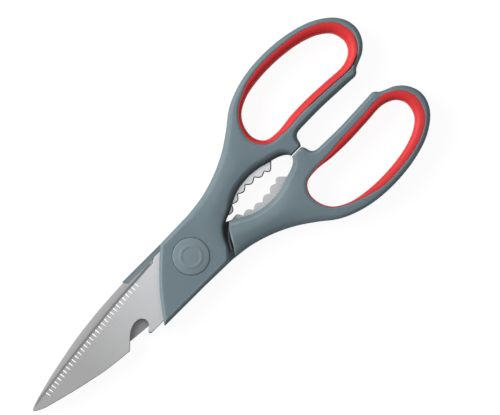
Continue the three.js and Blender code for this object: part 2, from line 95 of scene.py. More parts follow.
CUTTING_EDGE = [(-14.5, 9.7), (-26.2, 8.9), (-35.3, 8.35), (-44.4, 7.5), (-54.4, 6.4), (-66.5, 5.1),
                (-76.6, 3.85), (-84.7, 2.7)]
REAR_EDGE_END = [(-90.7, 1.2), (-95, -0.35)]
REAR_SPINE = [(-96, -1.1), (-95.2, -1.9), (-90.6, -3.45), (-80.4, -6.1), (-70.5, -8.2), (-60.4, -10.05),
              (-48.4, -11.55), (-40.3, -12.2), (-32, -12.7)]
REAR_SHOULDER = [(-29.2, -12.75), (-28.0, -11.4)]
SHANK_END = 8
HEEL_STEP, HEEL_CORNER = 2.6, 0.9
TANG_INNER = [(14, -5.2), (17.4, -1.4), (21, 0.8)]
TANG_OUTER = [(54, 4.9), (52.4, 8.4), (50.6, 13), (50, 17.4), (47.6, 20.8), (43, 19.7), (36, 15.9),
              (28, 12.9), (18, 10.9)]
JAW_CENTRE = (38.8, -24.25)
JAW_RADIUS = 29.5
JAW_START, JAW_TOOTH_PITCH = math.radians(120.5), math.radians(9.95)
JAW_TOOTH_COUNT, JAW_TOOTH_STEPS, JAW_TOOTH_HEIGHT = 5.5, 12, 1.5
LAST_TOOTH_CORNER, LAST_TOOTH_BACK = 1.9, 5


def smooth_path(points, step=PATH_STEP):
    """Points about a step apart on a smooth curve through the given ones, both ends included."""
    knots = np.array([points[0], *points, points[-1]], float)
    path = []
    for a, b, c, d in zip(knots, knots[1:], knots[2:], knots[3:]):
        t = np.linspace(0, 1, max(2, round(np.linalg.norm(c - b) / step)), endpoint=False)[:, None]
        path.append(b + 0.5 * t * (c - a + t * (2 * a - 5 * b + 4 * c - d + t * (3 * b - a - 3 * c + d))))
    return np.concatenate([*path, knots[-1:]])


def straight_path(start, end, step=PATH_STEP):
    """Points about a step apart on a straight line, both ends included."""
    start, end = np.array(start, float), np.array(end, float)
    t = np.linspace(0, 1, max(2, round(np.linalg.norm(end - start) / step) + 1))[:, None]
    return start + t * (end - start)


def left_of(directions):
    """Unit vectors to the left of each direction, in plan."""
    turned = np.stack([-directions[:, 1], directions[:, 0]], 1)
    return turned / np.linalg.norm(turned, axis=1, keepdims=True)


def circle(radius, count):
    """A counter-clockwise circle round the pivot."""
    angle = np.linspace(0, 2 * math.pi, count, endpoint=False)
    return radius * np.stack([np.cos(angle), np.sin(angle)], 1)


def nearest_on(points, line, closed=True):
    """Each point's distance to a line of short straight steps, and how many steps along it that is."""
    start = line if closed else line[:-1]
    run = (np.roll(line, -1, axis=0) if closed else line[1:]) - start
    run_squared = np.maximum((run ** 2).sum(1), TINY)
    gaps, places = [], []
    for block in np.array_split(points, max(1, len(points) * len(start) // PAIRS_AT_ONCE)):
        offset = block[:, None] - start
        share = np.clip((offset * run).sum(2) / run_squared, 0, 1)
        gap = np.linalg.norm(offset - share[..., None] * run, axis=2)
        rows, steps = np.arange(len(block)), gap.argmin(1)
        gaps.append(gap[rows, steps])
        places.append(steps + share[rows, steps])
    return np.concatenate(gaps), np.concatenate(places)


def is_inside(points, loop):
    """Which points lie inside a closed loop."""
    after = np.roll(loop, -1, axis=0)
    rise = after[:, 1] - loop[:, 1]
    rise[rise == 0] = TINY
    found = []
    for block in np.array_split(points, max(1, len(points) * len(loop) // PAIRS_AT_ONCE)):
        x, y = block[:, :1], block[:, 1:]
        spans = (loop[:, 1] > y) != (after[:, 1] > y)
        crossing = loop[:, 0] + (y - loop[:, 1]) * (after[:, 0] - loop[:, 0]) / rise
        found.append((spans & (x < crossing)).sum(1) % 2 == 1)
    return np.concatenate(found)


def rounded(distance, width, height):
    """How far an edge rounded over a width and a height has fallen, at a distance inside it."""
    share = np.clip(1 - distance / width, 0, 1)
    return height * (1 - np.sqrt(1 - share ** 2))


def rows_beside(line, widths, side=1, closed=True):
    """Rows of points beside a line, close enough for an edge rounded over the widths, and one past it."""
    ahead = np.roll(line, -1, axis=0) - np.roll(line, 1, axis=0) if closed else np.gradient(line, axis=0)
    across = side * left_of(ahead)
    widths = np.broadcast_to(widths, len(line))
    depths = [widths * (1 - math.cos(math.radians(angle))) for angle in ROW_ANGLES]
    depths.append(widths * LAST_ROW_SHARE + LAST_ROW_GAP)
    points = np.concatenate([line + across * depth[:, None] for depth in depths])
    gap, _ = nearest_on(points, line, closed)
    return points[gap > ROW_CLEARANCE * np.concatenate(depths)]


def grid_over(line, pitch):
    """A staggered grid of points over the box of a line."""
    low, high = line.min(0), line.max(0)
    x, y = np.meshgrid(np.arange(low[0], high[0], pitch), np.arange(low[1], high[1], pitch))
    x[1::2] += pitch / 2
    return np.stack([x.ravel(), y.ravel()], 1)


def plan_triangles(loops, paths, loose):
    """Points and counter-clockwise triangles over a plan that is cut along closed loops and open paths."""
    points, edges = [], []
    for line, closed in [(loop, True) for loop in loops] + [(path, False) for path in paths]:
        first, count = len(points), len(line)
        points += [Vector(p) for p in line]
        edges += [(first + i, first + (i + 1) % count) for i in range(count if closed else count - 1)]
    points += [Vector(p) for p in loose]
    made = delaunay_2d_cdt(points, edges, [], 0, MERGE_REACH)
    plan, triangles = np.array([tuple(p) for p in made[0]]), np.array(made[2])
    a, b, c = (plan[triangles[:, i]] for i in range(3))
    area = (b - a)[:, 0] * (c - a)[:, 1] - (b - a)[:, 1] * (c - a)[:, 0]
    triangles[area < 0] = triangles[area < 0][:, ::-1]
    return plan, triangles[np.abs(area) > SLIVER_AREA]


def solid_over(plan, triangles, top_kind, bottom_kind, tops, bottoms):
    """A closed mesh over a plan. Each triangle has one of the top and one of the bottom surfaces, as
    heights over the plan, and upright walls join surfaces that differ. An OPEN kind has no surface."""
    kept = (top_kind != OPEN) & (bottom_kind != OPEN)
    triangles, top_kind, bottom_kind = triangles[kept], top_kind[kept], bottom_kind[kept]
    tops, bottoms = ([np.round(z, HEIGHT_DIGITS) for z in heights] for heights in (tops, bottoms))
    verts, plan_index, index = [], [], {}
    levels = [set() for _ in plan]

    def vertex(p, z):
        key = (p, z)
        if key not in index:
            index[key] = len(verts)
            verts.append((plan[p, 0] * MM, plan[p, 1] * MM, z * MM))
            plan_index.append(p)
        return index[key]

    faces, owners = [], {}
    for k, triangle in enumerate(triangles.tolist()):
        high, low = tops[top_kind[k]], bottoms[bottom_kind[k]]
        for p in triangle:
            levels[p].update((high[p], low[p]))
        faces.append([vertex(p, high[p]) for p in triangle])
        faces.append([vertex(p, low[p]) for p in reversed(triangle)])
        for a, b in zip(triangle, triangle[1:] + triangle[:1]):
            owners.setdefault((min(a, b), max(a, b)), []).append((a, b, high, low))

    def add_wall(a, b, low, high):
        up = [z for z in sorted(levels[b]) if low[b] <= z <= high[b]]
        down = [z for z in sorted(levels[a], reverse=True) if low[a] <= z <= high[a]]
        face = [vertex(b, z) for z in up] + [vertex(a, z) for z in down]
        if len(face) > 2:
            faces.append(face)

    for sides in owners.values():
        if len(sides) == 1:
            a, b, high, low = sides[0]
            add_wall(a, b, low, high)
            continue
        (a, b, high, low), (_, _, other_high, other_low) = sides
        if high[a] + high[b] < other_high[a] + other_high[b]:
            add_wall(b, a, high, other_high)
        elif high[a] + high[b] > other_high[a] + other_high[b]:
            add_wall(a, b, other_high, high)
        if low[a] + low[b] < other_low[a] + other_low[b]:
            add_wall(a, b, low, other_low)
        elif low[a] + low[b] > other_low[a] + other_low[b]:
            add_wall(b, a, other_low, low)
    mesh = bpy.data.meshes.new("solid")
    mesh.from_pydata(verts, [], faces)
    return mesh, np.array(plan_index)


def turned_over(mesh):
    """A copy of a front-half mesh, turned over about the long axis to be the rear half's."""
    rear = mesh.copy()
    for v in rear.vertices:
        v.co = (v.co.x, -v.co.y, THICKNESS * MM - v.co.z)
    return rear


def set_attribute(mesh, name, values):
    """Gives each point of a mesh a number or a place that its material reads."""
    kind, field = ("FLOAT_VECTOR", "vector") if np.ndim(values) == 2 else ("FLOAT", "value")
    attribute = mesh.attributes.new(name, kind, "POINT")
    attribute.data.foreach_set(field, np.asarray(values, np.float32).ravel())


def add_piece(name, mesh, materials, body, node):
    """Shows a finished mesh in place of a CAD node, riding on its body."""
    mesh.name = name
    mesh.materials.clear()
    for material in materials:
        mesh.materials.append(material)
    mesh.polygons.foreach_set("use_smooth", [True] * len(mesh.polygons))
    mesh.set_sharp_from_angle(angle=SHARP_ANGLE)
    piece = bpy.data.objects.new(name, mesh)
    bpy.context.scene.collection.objects.link(piece)
    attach(piece, body)
    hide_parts(node)
    return piece


def corner_path(before, corner, after, size):
    """A small curved corner between two straight sides."""
    before, corner, after = (np.array(p, float) for p in (before, corner, after))
    start = corner + (before - corner) / np.linalg.norm(before - corner) * size
    end = corner + (after - corner) / np.linalg.norm(after - corner) * size
    t = np.linspace(0, 1, CORNER_POINTS)[:, None]
    return (1 - t) ** 2 * start + 2 * t * (1 - t) * corner + t ** 2 * end


def jaw_path():
    """The rounded teeth along the jaw's arc, from the pivot outwards."""
    tooth = np.arange(int(JAW_TOOTH_COUNT * JAW_TOOTH_STEPS) + 1) / JAW_TOOTH_STEPS
    angle = JAW_START - tooth * JAW_TOOTH_PITCH
    radius = JAW_RADIUS - JAW_TOOTH_HEIGHT * np.abs(np.sin(math.pi * tooth))
    return np.array(JAW_CENTRE) + radius[:, None] * np.stack([np.cos(angle), np.sin(angle)], 1)


def blade_lines(edge_end, spine_parts, bevel_outside):
    """A blade's cutting edge and bevel line from heel to tip, its back from tip to heel, and how far the
    back's edge is rounded at each point."""
    curve = smooth_path([*CUTTING_EDGE, *edge_end], EDGE_STEP)
    from_heel, from_tip = (np.linalg.norm(curve - curve[end], axis=1) for end in (0, -1))
    width = np.minimum(BEVEL_WIDTH, np.minimum(BEVEL_HEEL_TAPER * from_heel, BEVEL_TIP_TAPER * from_tip))
    side = -1 if bevel_outside else 1
    moved = curve + left_of(np.gradient(curve, axis=0)) * (width * side)[:, None]
    edge, bevel = (moved, curve) if bevel_outside else (curve, moved)
    jaw = jaw_path()
    last_corner = corner_path(jaw[-LAST_TOOTH_BACK], jaw[-1], TANG_OUTER[0], LAST_TOOTH_CORNER)
    before_corner = np.linalg.norm(jaw - jaw[-1], axis=1) > LAST_TOOTH_CORNER
    jaw = np.concatenate([jaw[before_corner], last_corner[:1]])
    heel = corner_path((SHANK_END, BLADE_HALF_WIDTH), (CUTTING_EDGE[0][0] + HEEL_STEP, BLADE_HALF_WIDTH),
                       CUTTING_EDGE[0], HEEL_CORNER)
    parts = [
        *[(part, STEEL_EDGE_ROUND) for part in spine_parts],
        (smooth_path([(SHANK_END, -BLADE_HALF_WIDTH), *TANG_INNER, jaw[0]]), STEEL_EDGE_ROUND),
        (jaw, JAW_EDGE_ROUND),
        (last_corner, JAW_EDGE_ROUND),
        (straight_path(last_corner[-1], TANG_OUTER[0]), JAW_EDGE_ROUND),
        (smooth_path([*TANG_OUTER, (SHANK_END, BLADE_HALF_WIDTH)], TANG_STEP), STEEL_EDGE_ROUND),
        (straight_path((SHANK_END, BLADE_HALF_WIDTH), heel[0]), STEEL_EDGE_ROUND),
        (heel, STEEL_EDGE_ROUND),
        (straight_path(heel[-1], CUTTING_EDGE[0], CORNER_STEP), STEEL_EDGE_ROUND),
    ]
    back = np.concatenate([path[:-1] for path, _ in parts])
    rounds = np.concatenate([np.full(len(path) - 1, size) for path, size in parts])
    return edge, bevel, back, rounds


def blade_mesh(edge, bevel, back, rounds):
    """A blade: flat inside, with rounded edges outside and a bevel down to the land at its edge."""
    outline = np.concatenate([edge, back])
    bore = circle(PIVOT_BORE_RADIUS, PIVOT_BORE_POINTS)
    rim = np.concatenate([edge[-1:], back, edge[:1]])
    rim_round = np.concatenate([rounds[:1], rounds, rounds[-1:]])
    loose = np.concatenate([rows_beside(rim, rim_round, closed=False), grid_over(outline, BLADE_GRID)])
    ground = np.concatenate([bevel, back])
    loose = loose[is_inside(loose, ground)]
    off_bevel = nearest_on(loose, bevel, False)[0] > BEVEL_CLEARANCE
    loose = loose[off_bevel & (np.hypot(*loose.T) > PIVOT_BORE_RADIUS + BORE_CLEARANCE)]
    plan, triangles = plan_triangles([outline, bore], [bevel], loose)
    gap, place = nearest_on(plan, rim, False)
    width = np.interp(place, np.arange(len(rim)), rim_round)
    face = BLADE_OUTER - rounded(gap, width, np.minimum(width, JAW_EDGE_FALL))
    on_edge = nearest_on(plan, edge, False)[0] < ON_LINE
    on_bevel = nearest_on(plan, bevel, False)[0] < ON_LINE
    face[on_bevel] = BLADE_OUTER
    face[on_edge & ~on_bevel] = BLADE_INNER + EDGE_LAND
    middle = plan[triangles].mean(1)
    kind = np.where(is_inside(middle, outline) & ~is_inside(middle, bore), 0, OPEN)
    mesh, plan_index = solid_over(plan, triangles, kind, kind, [face], [np.full(len(plan), BLADE_INNER)])
    lightened = np.exp(-nearest_on(plan, back, False)[0] / LIGHTER_REACH)
    set_attribute(mesh, "lighter_tone", lightened[plan_index])
    is_outer = np.array([v.co.z for v in mesh.vertices]) > (BLADE_INNER + BLADE_OUTER) / 2 * MM
    # Painted light: the jaw's outer face is lightened where the arm shades it.
    on_jaw = np.interp(plan[:, 0], [JAW_LIGHT_FROM, JAW_LIGHT_TO], [0, 1])
    set_attribute(mesh, "painted_jaw_light", is_outer * on_jaw[plan_index])
    set_attribute(mesh, "blank_place", np.column_stack([plan * MM, np.zeros(len(plan))])[plan_index])
    return mesh


def linear(colour):
    """An sRGB colour such as #808080 as linear red, green and blue, with full alpha."""
    parts = [int(colour[i:i + 2], 16) / 255 for i in (1, 3, 5)]
    return (*(c / 12.92 if c <= 0.04045 else ((c + 0.055) / 1.055) ** 2.4 for c in parts), 1.0)


def add_node(tree, kind, settings={}, values={}, links={}):
    """Adds a node with its settings, the values of its inputs, and links from other nodes' outputs."""
    node = tree.nodes.new(kind)
    for name, value in settings.items():
        setattr(node, name, value)
    for name, value in values.items():
        node.inputs[name].default_value = value
    for name, output in links.items():
        tree.links.new(output, node.inputs[name])
    return node


def new_material(name):
    """An empty node material and its tree."""
    material = bpy.data.materials.new(name)
    material.use_nodes = True
    material.node_tree.nodes.clear()
    return material, material.node_tree


# Bead-blasted stainless steel: a soft grey satin with a fine grain, and faint rolling streaks along it.
# Painted light makes it lighter on the jaw, which the arm shades, and painted shade darkens it towards the
# tip.
# The 0.1 mm grain of the blasting is drawn at 0.35 mm, because finer grain doesn't show.
BLASTED_GRAIN, STREAK_LENGTH, STREAK_WIDTH = 0.35 * MM, 14 * MM, 0.5 * MM
TIP_SHADE_FROM, TIP_SHADE_TO = -14 * MM, -66 * MM
satin_steel, tree = new_material("bead_blasted_stainless_steel")
place = add_node(tree, "ShaderNodeTexCoord")
streaks = add_node(tree, "ShaderNodeMapping", values={"Scale": (STREAK_WIDTH / STREAK_LENGTH, 1, 1)},
                   links={"Vector": place.outputs["Object"]})
rolled = add_node(tree, "ShaderNodeTexNoise", values={"Scale": 1 / STREAK_WIDTH, "Detail": 2.0},
                  links={"Vector": streaks.outputs["Vector"]})
blasted = add_node(tree, "ShaderNodeTexNoise", values={"Scale": 1 / BLASTED_GRAIN, "Detail": 3.0},
                   links={"Vector": place.outputs["Object"]})
along = add_node(tree, "ShaderNodeSeparateXYZ", links={"Vector": place.outputs["Object"]})
# Painted shade: the steel darkens from the heel end of the blade towards the tip.
tip_shade = add_node(tree, "ShaderNodeMapRange", values={"From Min": TIP_SHADE_FROM, "From Max": TIP_SHADE_TO},
                links={"Value": along.outputs["X"]})
heel_tone = add_node(tree, "ShaderNodeMix", {"data_type": "RGBA"},
                 {"A": linear("#bfc0c2"), "B": linear("#c5c5c7")}, {"Factor": rolled.outputs["Fac"]})
tip_tone = add_node(tree, "ShaderNodeMix", {"data_type": "RGBA"},
                  {"A": linear("#9e9e9e"), "B": linear("#a4a4a4")}, {"Factor": rolled.outputs["Fac"]})
tone = add_node(tree, "ShaderNodeMix", {"data_type": "RGBA"}, links={
    "A": heel_tone.outputs["Result"], "B": tip_tone.outputs["Result"], "Factor": tip_shade.outputs["Result"]})
# Painted light on the jaw's outer face, where the arm shades it.
jaw_light = add_node(tree, "ShaderNodeAttribute", {"attribute_name": "painted_jaw_light"})
tone = add_node(tree, "ShaderNodeMix", {"data_type": "RGBA"}, {"B": linear("#d3d4d6")},
                {"A": tone.outputs["Result"], "Factor": jaw_light.outputs["Fac"]})
sheen = add_node(tree, "ShaderNodeMapRange", values={"To Min": 0.74, "To Max": 0.82},
                 links={"Value": blasted.outputs["Fac"]})
grain = add_node(tree, "ShaderNodeBump", values={"Strength": 0.12, "Distance": 0.02 * MM},
                 links={"Height": blasted.outputs["Fac"]})
steel = add_node(tree, "ShaderNodeBsdfPrincipled", values={"Metallic": 1.0}, links={
    "Base Color": tone.outputs["Result"], "Roughness": sheen.outputs["Result"],
    "Normal": grain.outputs["Normal"]})
add_node(tree, "ShaderNodeOutputMaterial", links={"Surface": steel.outputs["BSDF"]})

# Ground stainless steel on the bevel, with fine grinding lines; its dark tone is painted shade for the steep
# bevel.
GRINDING_LINE, GRINDING_LENGTH = 0.18 * MM, 6 * MM
ground_steel, tree = new_material("ground_stainless_steel")
place = add_node(tree, "ShaderNodeTexCoord")
stretch = GRINDING_LINE / GRINDING_LENGTH
lines = add_node(tree, "ShaderNodeMapping", values={"Scale": (1, stretch, stretch)},
                 links={"Vector": place.outputs["Object"]})
scratches = add_node(tree, "ShaderNodeTexNoise", values={"Scale": 1 / GRINDING_LINE, "Detail": 2.0},
                     links={"Vector": lines.outputs["Vector"]})
tone = add_node(tree, "ShaderNodeMix", {"data_type": "RGBA"},
                {"A": linear("#6f6f71"), "B": linear("#8b8b8c")}, {"Factor": scratches.outputs["Fac"]})
steel = add_node(tree, "ShaderNodeBsdfPrincipled", values={"Metallic": 1.0, "Roughness": 0.55},
                 links={"Base Color": tone.outputs["Result"]})
add_node(tree, "ShaderNodeOutputMaterial", links={"Surface": steel.outputs["BSDF"]})

# Sheared stainless steel on the cut edges: rough, with tear lines across the thickness, and dark, partly as
# sheared steel is and partly as painted shade for the edges. It is near black with painted shade from the
# heel to the jaw, and lighter along the blade.
TEAR_LINE, TEAR_LENGTH = 0.3 * MM, 3 * MM
SHADE_START, SHADE_FULL = -32 * MM, -20 * MM
sheared_steel, tree = new_material("sheared_stainless_steel")
place = add_node(tree, "ShaderNodeTexCoord")
across = add_node(tree, "ShaderNodeMapping", values={"Scale": (1, 1, TEAR_LINE / TEAR_LENGTH)},
                  links={"Vector": place.outputs["Object"]})
torn = add_node(tree, "ShaderNodeTexNoise", values={"Scale": 1 / TEAR_LINE},
                links={"Vector": across.outputs["Vector"]})
edge_tone = add_node(tree, "ShaderNodeMix", {"data_type": "RGBA"},
                 {"A": linear("#68686a"), "B": linear("#7c7c7e")}, {"Factor": torn.outputs["Fac"]})
# Painted shade: the cut edges are near black from the heel to the jaw.
near_black = add_node(tree, "ShaderNodeMix", {"data_type": "RGBA"},
                 {"A": linear("#2b2b2d"), "B": linear("#3c3c3e")}, {"Factor": torn.outputs["Fac"]})
blank = add_node(tree, "ShaderNodeAttribute", {"attribute_name": "blank_place"})
along = add_node(tree, "ShaderNodeSeparateXYZ", links={"Vector": blank.outputs["Vector"]})
painted_shade = add_node(tree, "ShaderNodeMapRange", values={"From Min": SHADE_START, "From Max": SHADE_FULL},
                  links={"Value": along.outputs["X"]})
tone = add_node(tree, "ShaderNodeMix", {"data_type": "RGBA"}, links={
    "A": edge_tone.outputs["Result"], "B": near_black.outputs["Result"], "Factor": painted_shade.outputs["Result"]})
steel = add_node(tree, "ShaderNodeBsdfPrincipled", values={"Metallic": 1.0, "Roughness": 0.48},
                 links={"Base Color": tone.outputs["Result"]})
add_node(tree, "ShaderNodeOutputMaterial", links={"Surface": steel.outputs["BSDF"]})

# Lapped stainless steel inside, where the blades slide: dull and darker in the middle, partly as painted
# shade for the front blade's notch, and lighter along its back.
# By the arm's end it is dark with painted shade for the slot there, but for a line beside the other cover's
# tail that keeps its plain tone. Faint arcs follow the sliding, 0.5 mm apart. Places are in the flat blank,
# so that both blades have them alike.
SLIDE_ARC = 0.5 * MM
SLOT_SHADE_MIDDLE, SLOT_SHADE_REACH, SLOT_SHADE_FADE = (16.5 * MM, 7.5 * MM, 0), 8.5 * MM, 1 * MM
UNSHADED_LINE_MIDDLE, UNSHADED_LINE_RADIUS = (32.1 * MM, 18.1 * MM, 0), 19.3 * MM
UNSHADED_LINE_HALF_WIDTH, UNSHADED_LINE_FADE = 0.275 * MM, 0.1 * MM
lapped_steel, tree = new_material("lapped_stainless_steel")
place = add_node(tree, "ShaderNodeAttribute", {"attribute_name": "blank_place"})
swing = add_node(tree, "ShaderNodeVectorMath", {"operation": "LENGTH"}, {}, {0: place.outputs["Vector"]})
arcs = add_node(tree, "ShaderNodeTexNoise", {"noise_dimensions": "1D"},
                {"Scale": 1 / SLIDE_ARC, "Detail": 2.0}, {"W": swing.outputs["Value"]})
# Painted shade for the slot by the arm's end, left off along a line beside the other cover's tail.
from_slot_shade = add_node(tree, "ShaderNodeVectorMath", {"operation": "DISTANCE"}, {1: SLOT_SHADE_MIDDLE},
                    {0: place.outputs["Vector"]})
in_slot_shade = add_node(tree, "ShaderNodeMapRange", {"interpolation_type": "SMOOTHSTEP"},
                {"From Min": SLOT_SHADE_REACH + SLOT_SHADE_FADE, "From Max": SLOT_SHADE_REACH - SLOT_SHADE_FADE},
                {"Value": from_slot_shade.outputs["Value"]})
from_unshaded_line = add_node(tree, "ShaderNodeVectorMath", {"operation": "DISTANCE"}, {1: UNSHADED_LINE_MIDDLE},
                     {0: place.outputs["Vector"]})
off_line = add_node(tree, "ShaderNodeMath", {"operation": "SUBTRACT"}, {1: UNSHADED_LINE_RADIUS},
                    {0: from_unshaded_line.outputs["Value"]})
beside = add_node(tree, "ShaderNodeMath", {"operation": "ABSOLUTE"}, {}, {0: off_line.outputs["Value"]})
off_unshaded_line = add_node(tree, "ShaderNodeMapRange", {"interpolation_type": "SMOOTHSTEP"},
                   {"From Min": UNSHADED_LINE_HALF_WIDTH - UNSHADED_LINE_FADE, "From Max": UNSHADED_LINE_HALF_WIDTH + UNSHADED_LINE_FADE},
                   {"Value": beside.outputs["Value"]})
slot_shade = add_node(tree, "ShaderNodeMath", {"operation": "MULTIPLY"}, {},
                 {0: in_slot_shade.outputs["Result"], 1: off_unshaded_line.outputs["Result"]})
# Painted shade, in part: the dull middle tone darkens the face where the front blade's notch shades it.
dull = add_node(tree, "ShaderNodeMix", {"data_type": "RGBA"},
                {"A": linear("#868688"), "B": linear("#909091")}, {"Factor": arcs.outputs["Fac"]})
edge = add_node(tree, "ShaderNodeAttribute", {"attribute_name": "lighter_tone"})
lightened = add_node(tree, "ShaderNodeMix", {"data_type": "RGBA"}, {"B": linear("#a8a8a9")},
                  {"A": dull.outputs["Result"], "Factor": edge.outputs["Fac"]})
tone = add_node(tree, "ShaderNodeMix", {"data_type": "RGBA"}, {"B": linear("#4e4e52")},
                {"A": lightened.outputs["Result"], "Factor": slot_shade.outputs["Value"]})
sheen = add_node(tree, "ShaderNodeMapRange", values={"To Min": 0.68, "To Max": 0.78},
                 links={"Value": arcs.outputs["Fac"]})
steel = add_node(tree, "ShaderNodeBsdfPrincipled", values={"Metallic": 1.0}, links={
    "Base Color": tone.outputs["Result"], "Roughness": sheen.outputs["Result"]})
add_node(tree, "ShaderNodeOutputMaterial", links={"Surface": steel.outputs["BSDF"]})

finishes = [satin_steel, ground_steel, lapped_steel, sheared_steel]
SATIN, GROUND, LAPPED, SHEARED = range(len(finishes))
JAW_FACE_START, FLAT_FACING = 22, 0.97


def mark_finishes(mesh, bevel, back, turn=1):
    """Gives the bevel, the cut edges and the inner face up to the jaw their own finishes."""
    centres = np.array([(p.center.x, turn * p.center.y) for p in mesh.polygons]) / MM
    facing = turn * np.array([p.normal.z for p in mesh.polygons])
    on_bevel = nearest_on(centres, bevel, False)[0] < nearest_on(centres, back, False)[0]
    inside = (facing < 0) & (centres[:, 0] < JAW_FACE_START)
    on_face, on_side = np.where(inside, LAPPED, SATIN), np.where(on_bevel, GROUND, SHEARED)
    slots = np.where(np.abs(facing) > FLAT_FACING, on_face, on_side)
    mesh.polygons.foreach_set("material_index", slots.astype(np.int32))


plain_spine = [smooth_path(REAR_SPINE), straight_path(REAR_SPINE[-1], REAR_SHOULDER[0]),
               straight_path(*REAR_SHOULDER, CORNER_STEP),
               straight_path(REAR_SHOULDER[1], (SHANK_END, -BLADE_HALF_WIDTH))]
plain_edge, plain_bevel, plain_back, plain_rounds = blade_lines(REAR_EDGE_END, plain_spine, False)
mesh = turned_over(blade_mesh(plain_edge, plain_bevel, plain_back, plain_rounds))
add_piece("rear_blade_steel", mesh, finishes, "rear_half", "rear_blade")
mark_finishes(mesh, plain_bevel, plain_back, -1)


# Rear handle: hard plastic injected round the rear tang, one moulding of cover, arm and finger ring. Its
# edges are rounded, its arm is crowned, and its face slopes down to the jaw at the eye, which it laps over.
# The cover is open to the blade below, and has a stepped bore for the pivot.

COVER_WALL = 1.9
COVER_HALF_WIDTH = BLADE_HALF_WIDTH + COVER_WALL
COVER_FRONT = [(-5.8, COVER_HALF_WIDTH), (-29.8, -COVER_HALF_WIDTH)]
COVER_FRONT_BOW = 1.2
COVER_CORNER = 1.2
TAIL_RADIUS = 16.5
TAIL_END = math.radians(-24)
RELIEF_RADIUS = 18.9
RELIEF_FLARE = [(22.4, 0.8), (20, 3.3)]
RELIEF_FOOT, BEYOND_COVER = -4, 60
RELIEF_START = math.radians(23)
EYE_EDGE = [(16.6, -4.4), (19.3, -1.1), (22, 0.4), (26, 2.6), (30.5, 5.1), (36, 6.9), (42, 7.5), (48, 6.8),
            (53, 5.1), (57, 3.9), (59.6, 2.6), (61.1, 1.3), (61.5, 0.21)]
EYE_SIDE = 9  # the arm's edge at the eye is below this Y
EYE_LIP, EYE_LIP_ENDS, EYE_LIP_BITE = 0.8, (23, 53.5), 0.2
EYE_LEDGE, EYE_LEDGE_STEP, EYE_LEDGE_FALL = 2.0, 0.55, 0.5
EYE_TAPER_PLACES, EYE_TAPER = [13, 14.5, 22, 26, 32], [1, 0.4, 0.45, 0.6, 1]
STOP_END = (67.4, 0.21)
LUG_AND_BAR = [(68.2, 1.6), (69, 4.1), (71, 5.5), (76, 5.8), (86, 5.9), (96, 5.5), (105.6, 5.05)]
BEAK = (106.8, 5.6)
RING_EDGE = [(108.4, 7.2), (111.5, 8.6), (115, 10.3), (118.6, 13.9), (120.7, 19.4), (119.7, 25.4),
             (115.6, 30.9), (108, 35.7), (98, 38.7), (87, 40), (76, 39.7), (66, 37.7), (57, 33.85),
             (49, 27.85)]
ARM_EDGE = [(41, 22.5), (32, 18.2), (22, 15.1), (12, 13.7)]
ARM_EDGE_STEPS = 60  # the last steps of the path round the ring, which are the arm's
FINGER_HOLE = [(113.2, 20.5), (111.6, 25.4), (106.5, 29.5), (98, 32.5), (86, 34.05), (75, 33.8), (65.5, 32),
               (58.8, 28.1), (55.7, 22.5), (55.6, 17), (58.5, 12.9), (64.5, 11.8), (74, 12.75), (84, 13),
               (95, 12.5), (105, 12.15), (110.4, 14.3), (112.8, 17.6)]
# The liner's walls by the direction that they face, at each sixteenth of a turn from +X.
OUTER_WALL = [4.75, 4.75, 4.6, 4.1, 3.4, 1.8, 1.4, 1.65, 1.95, 1.95, 1.9, 2.2, 2.95, 3.4, 3.85, 4.25]
INNER_WALL = [4.65, 4.55, 4.4, 3.95, 3.3, 2.0, 1.35, 1.6, 1.95, 1.95, 1.95, 2.5, 3.2, 3.9, 4.05, 4.45]
BAR_TURN, BAR_TURN_REACH = 12, 1.34
BAR_THINNING, BAR_THIN_FROM, BAR_THIN_TO = 0.33, 75, 62
LINER_LIP, LINER_LIP_END, LINER_TAPER = 0.5, 61, 24
SEAT_ROUND, SEAT_FALL = 1.6, 0.45
CAP_RECESS_RADIUS, CAP_RECESS_FLOOR = 8.25, 10.6
BORE_RADIUS = 5.6
RECESS_ROUND = 0.25
CREASE = 0.3
OUTER_CROWN, INNER_CROWN, CROWN_REACH = 1.2, 2.4, 9.0
CROWN_PLACES, CROWN_SHARES = [6, 22, 42, 58], [0, 1, 1, 0.25]
COVER_DROP, COVER_DROP_ENDS = 0.8, (8.5, 20)
WALL_LIP, WALL_LIP_DROP = 0.4, 0.08
RELIEF_ROUND = 0.9
# Painted highlights along the creases and the relief's edge: their reach and shift.
OUTER_HIGHLIGHT, INNER_HIGHLIGHT, INNER_HIGHLIGHT_SHIFT, RELIEF_HIGHLIGHT = 0.4, 0.35, 0.2, 0.4
# Reach of the painted shade where the outer face laps over the jaw.
LAP_SHADE_REACH = 1.5
HANDLE_GRID, HOLE_STEPS, EDGE_BLEND, RECESS_POINTS, BORE_POINTS = 1.5, 12, 4, 96, 48

# The width and fall of the outer and of the inner rounded edge, how strong the painted highlight on the outer
# and the inner crease is, and the lap, which gives a ledge inside and painted shade outside, along each
# stretch of the outline.
COVER_EDGE, FRONT_EDGE = (1.6, 1.7, 2.0, 2.0, 0.8, 0.8, 0), (1.2, 1.2, 1.2, 1.2, 0.8, 0.8, 0)
LAPPED_EDGE, STOP_EDGE = (3.1, 3.4, 2.0, 0.3, 0, 1.2, 1), (0.5, 0.6, 0.5, 0.6, 0.4, 0.4, 0)
BAR_EDGE, LOOP_EDGE = (2.1, 2.8, 1.4, 2.0, 0.8, 0.8, 0), (1.6, 1.6, 1.6, 1.6, 0.3, 0.3, 0)
CROWNED_EDGE = (2.4, 1.2, 2.4, 1.2, 0, 0, 0)


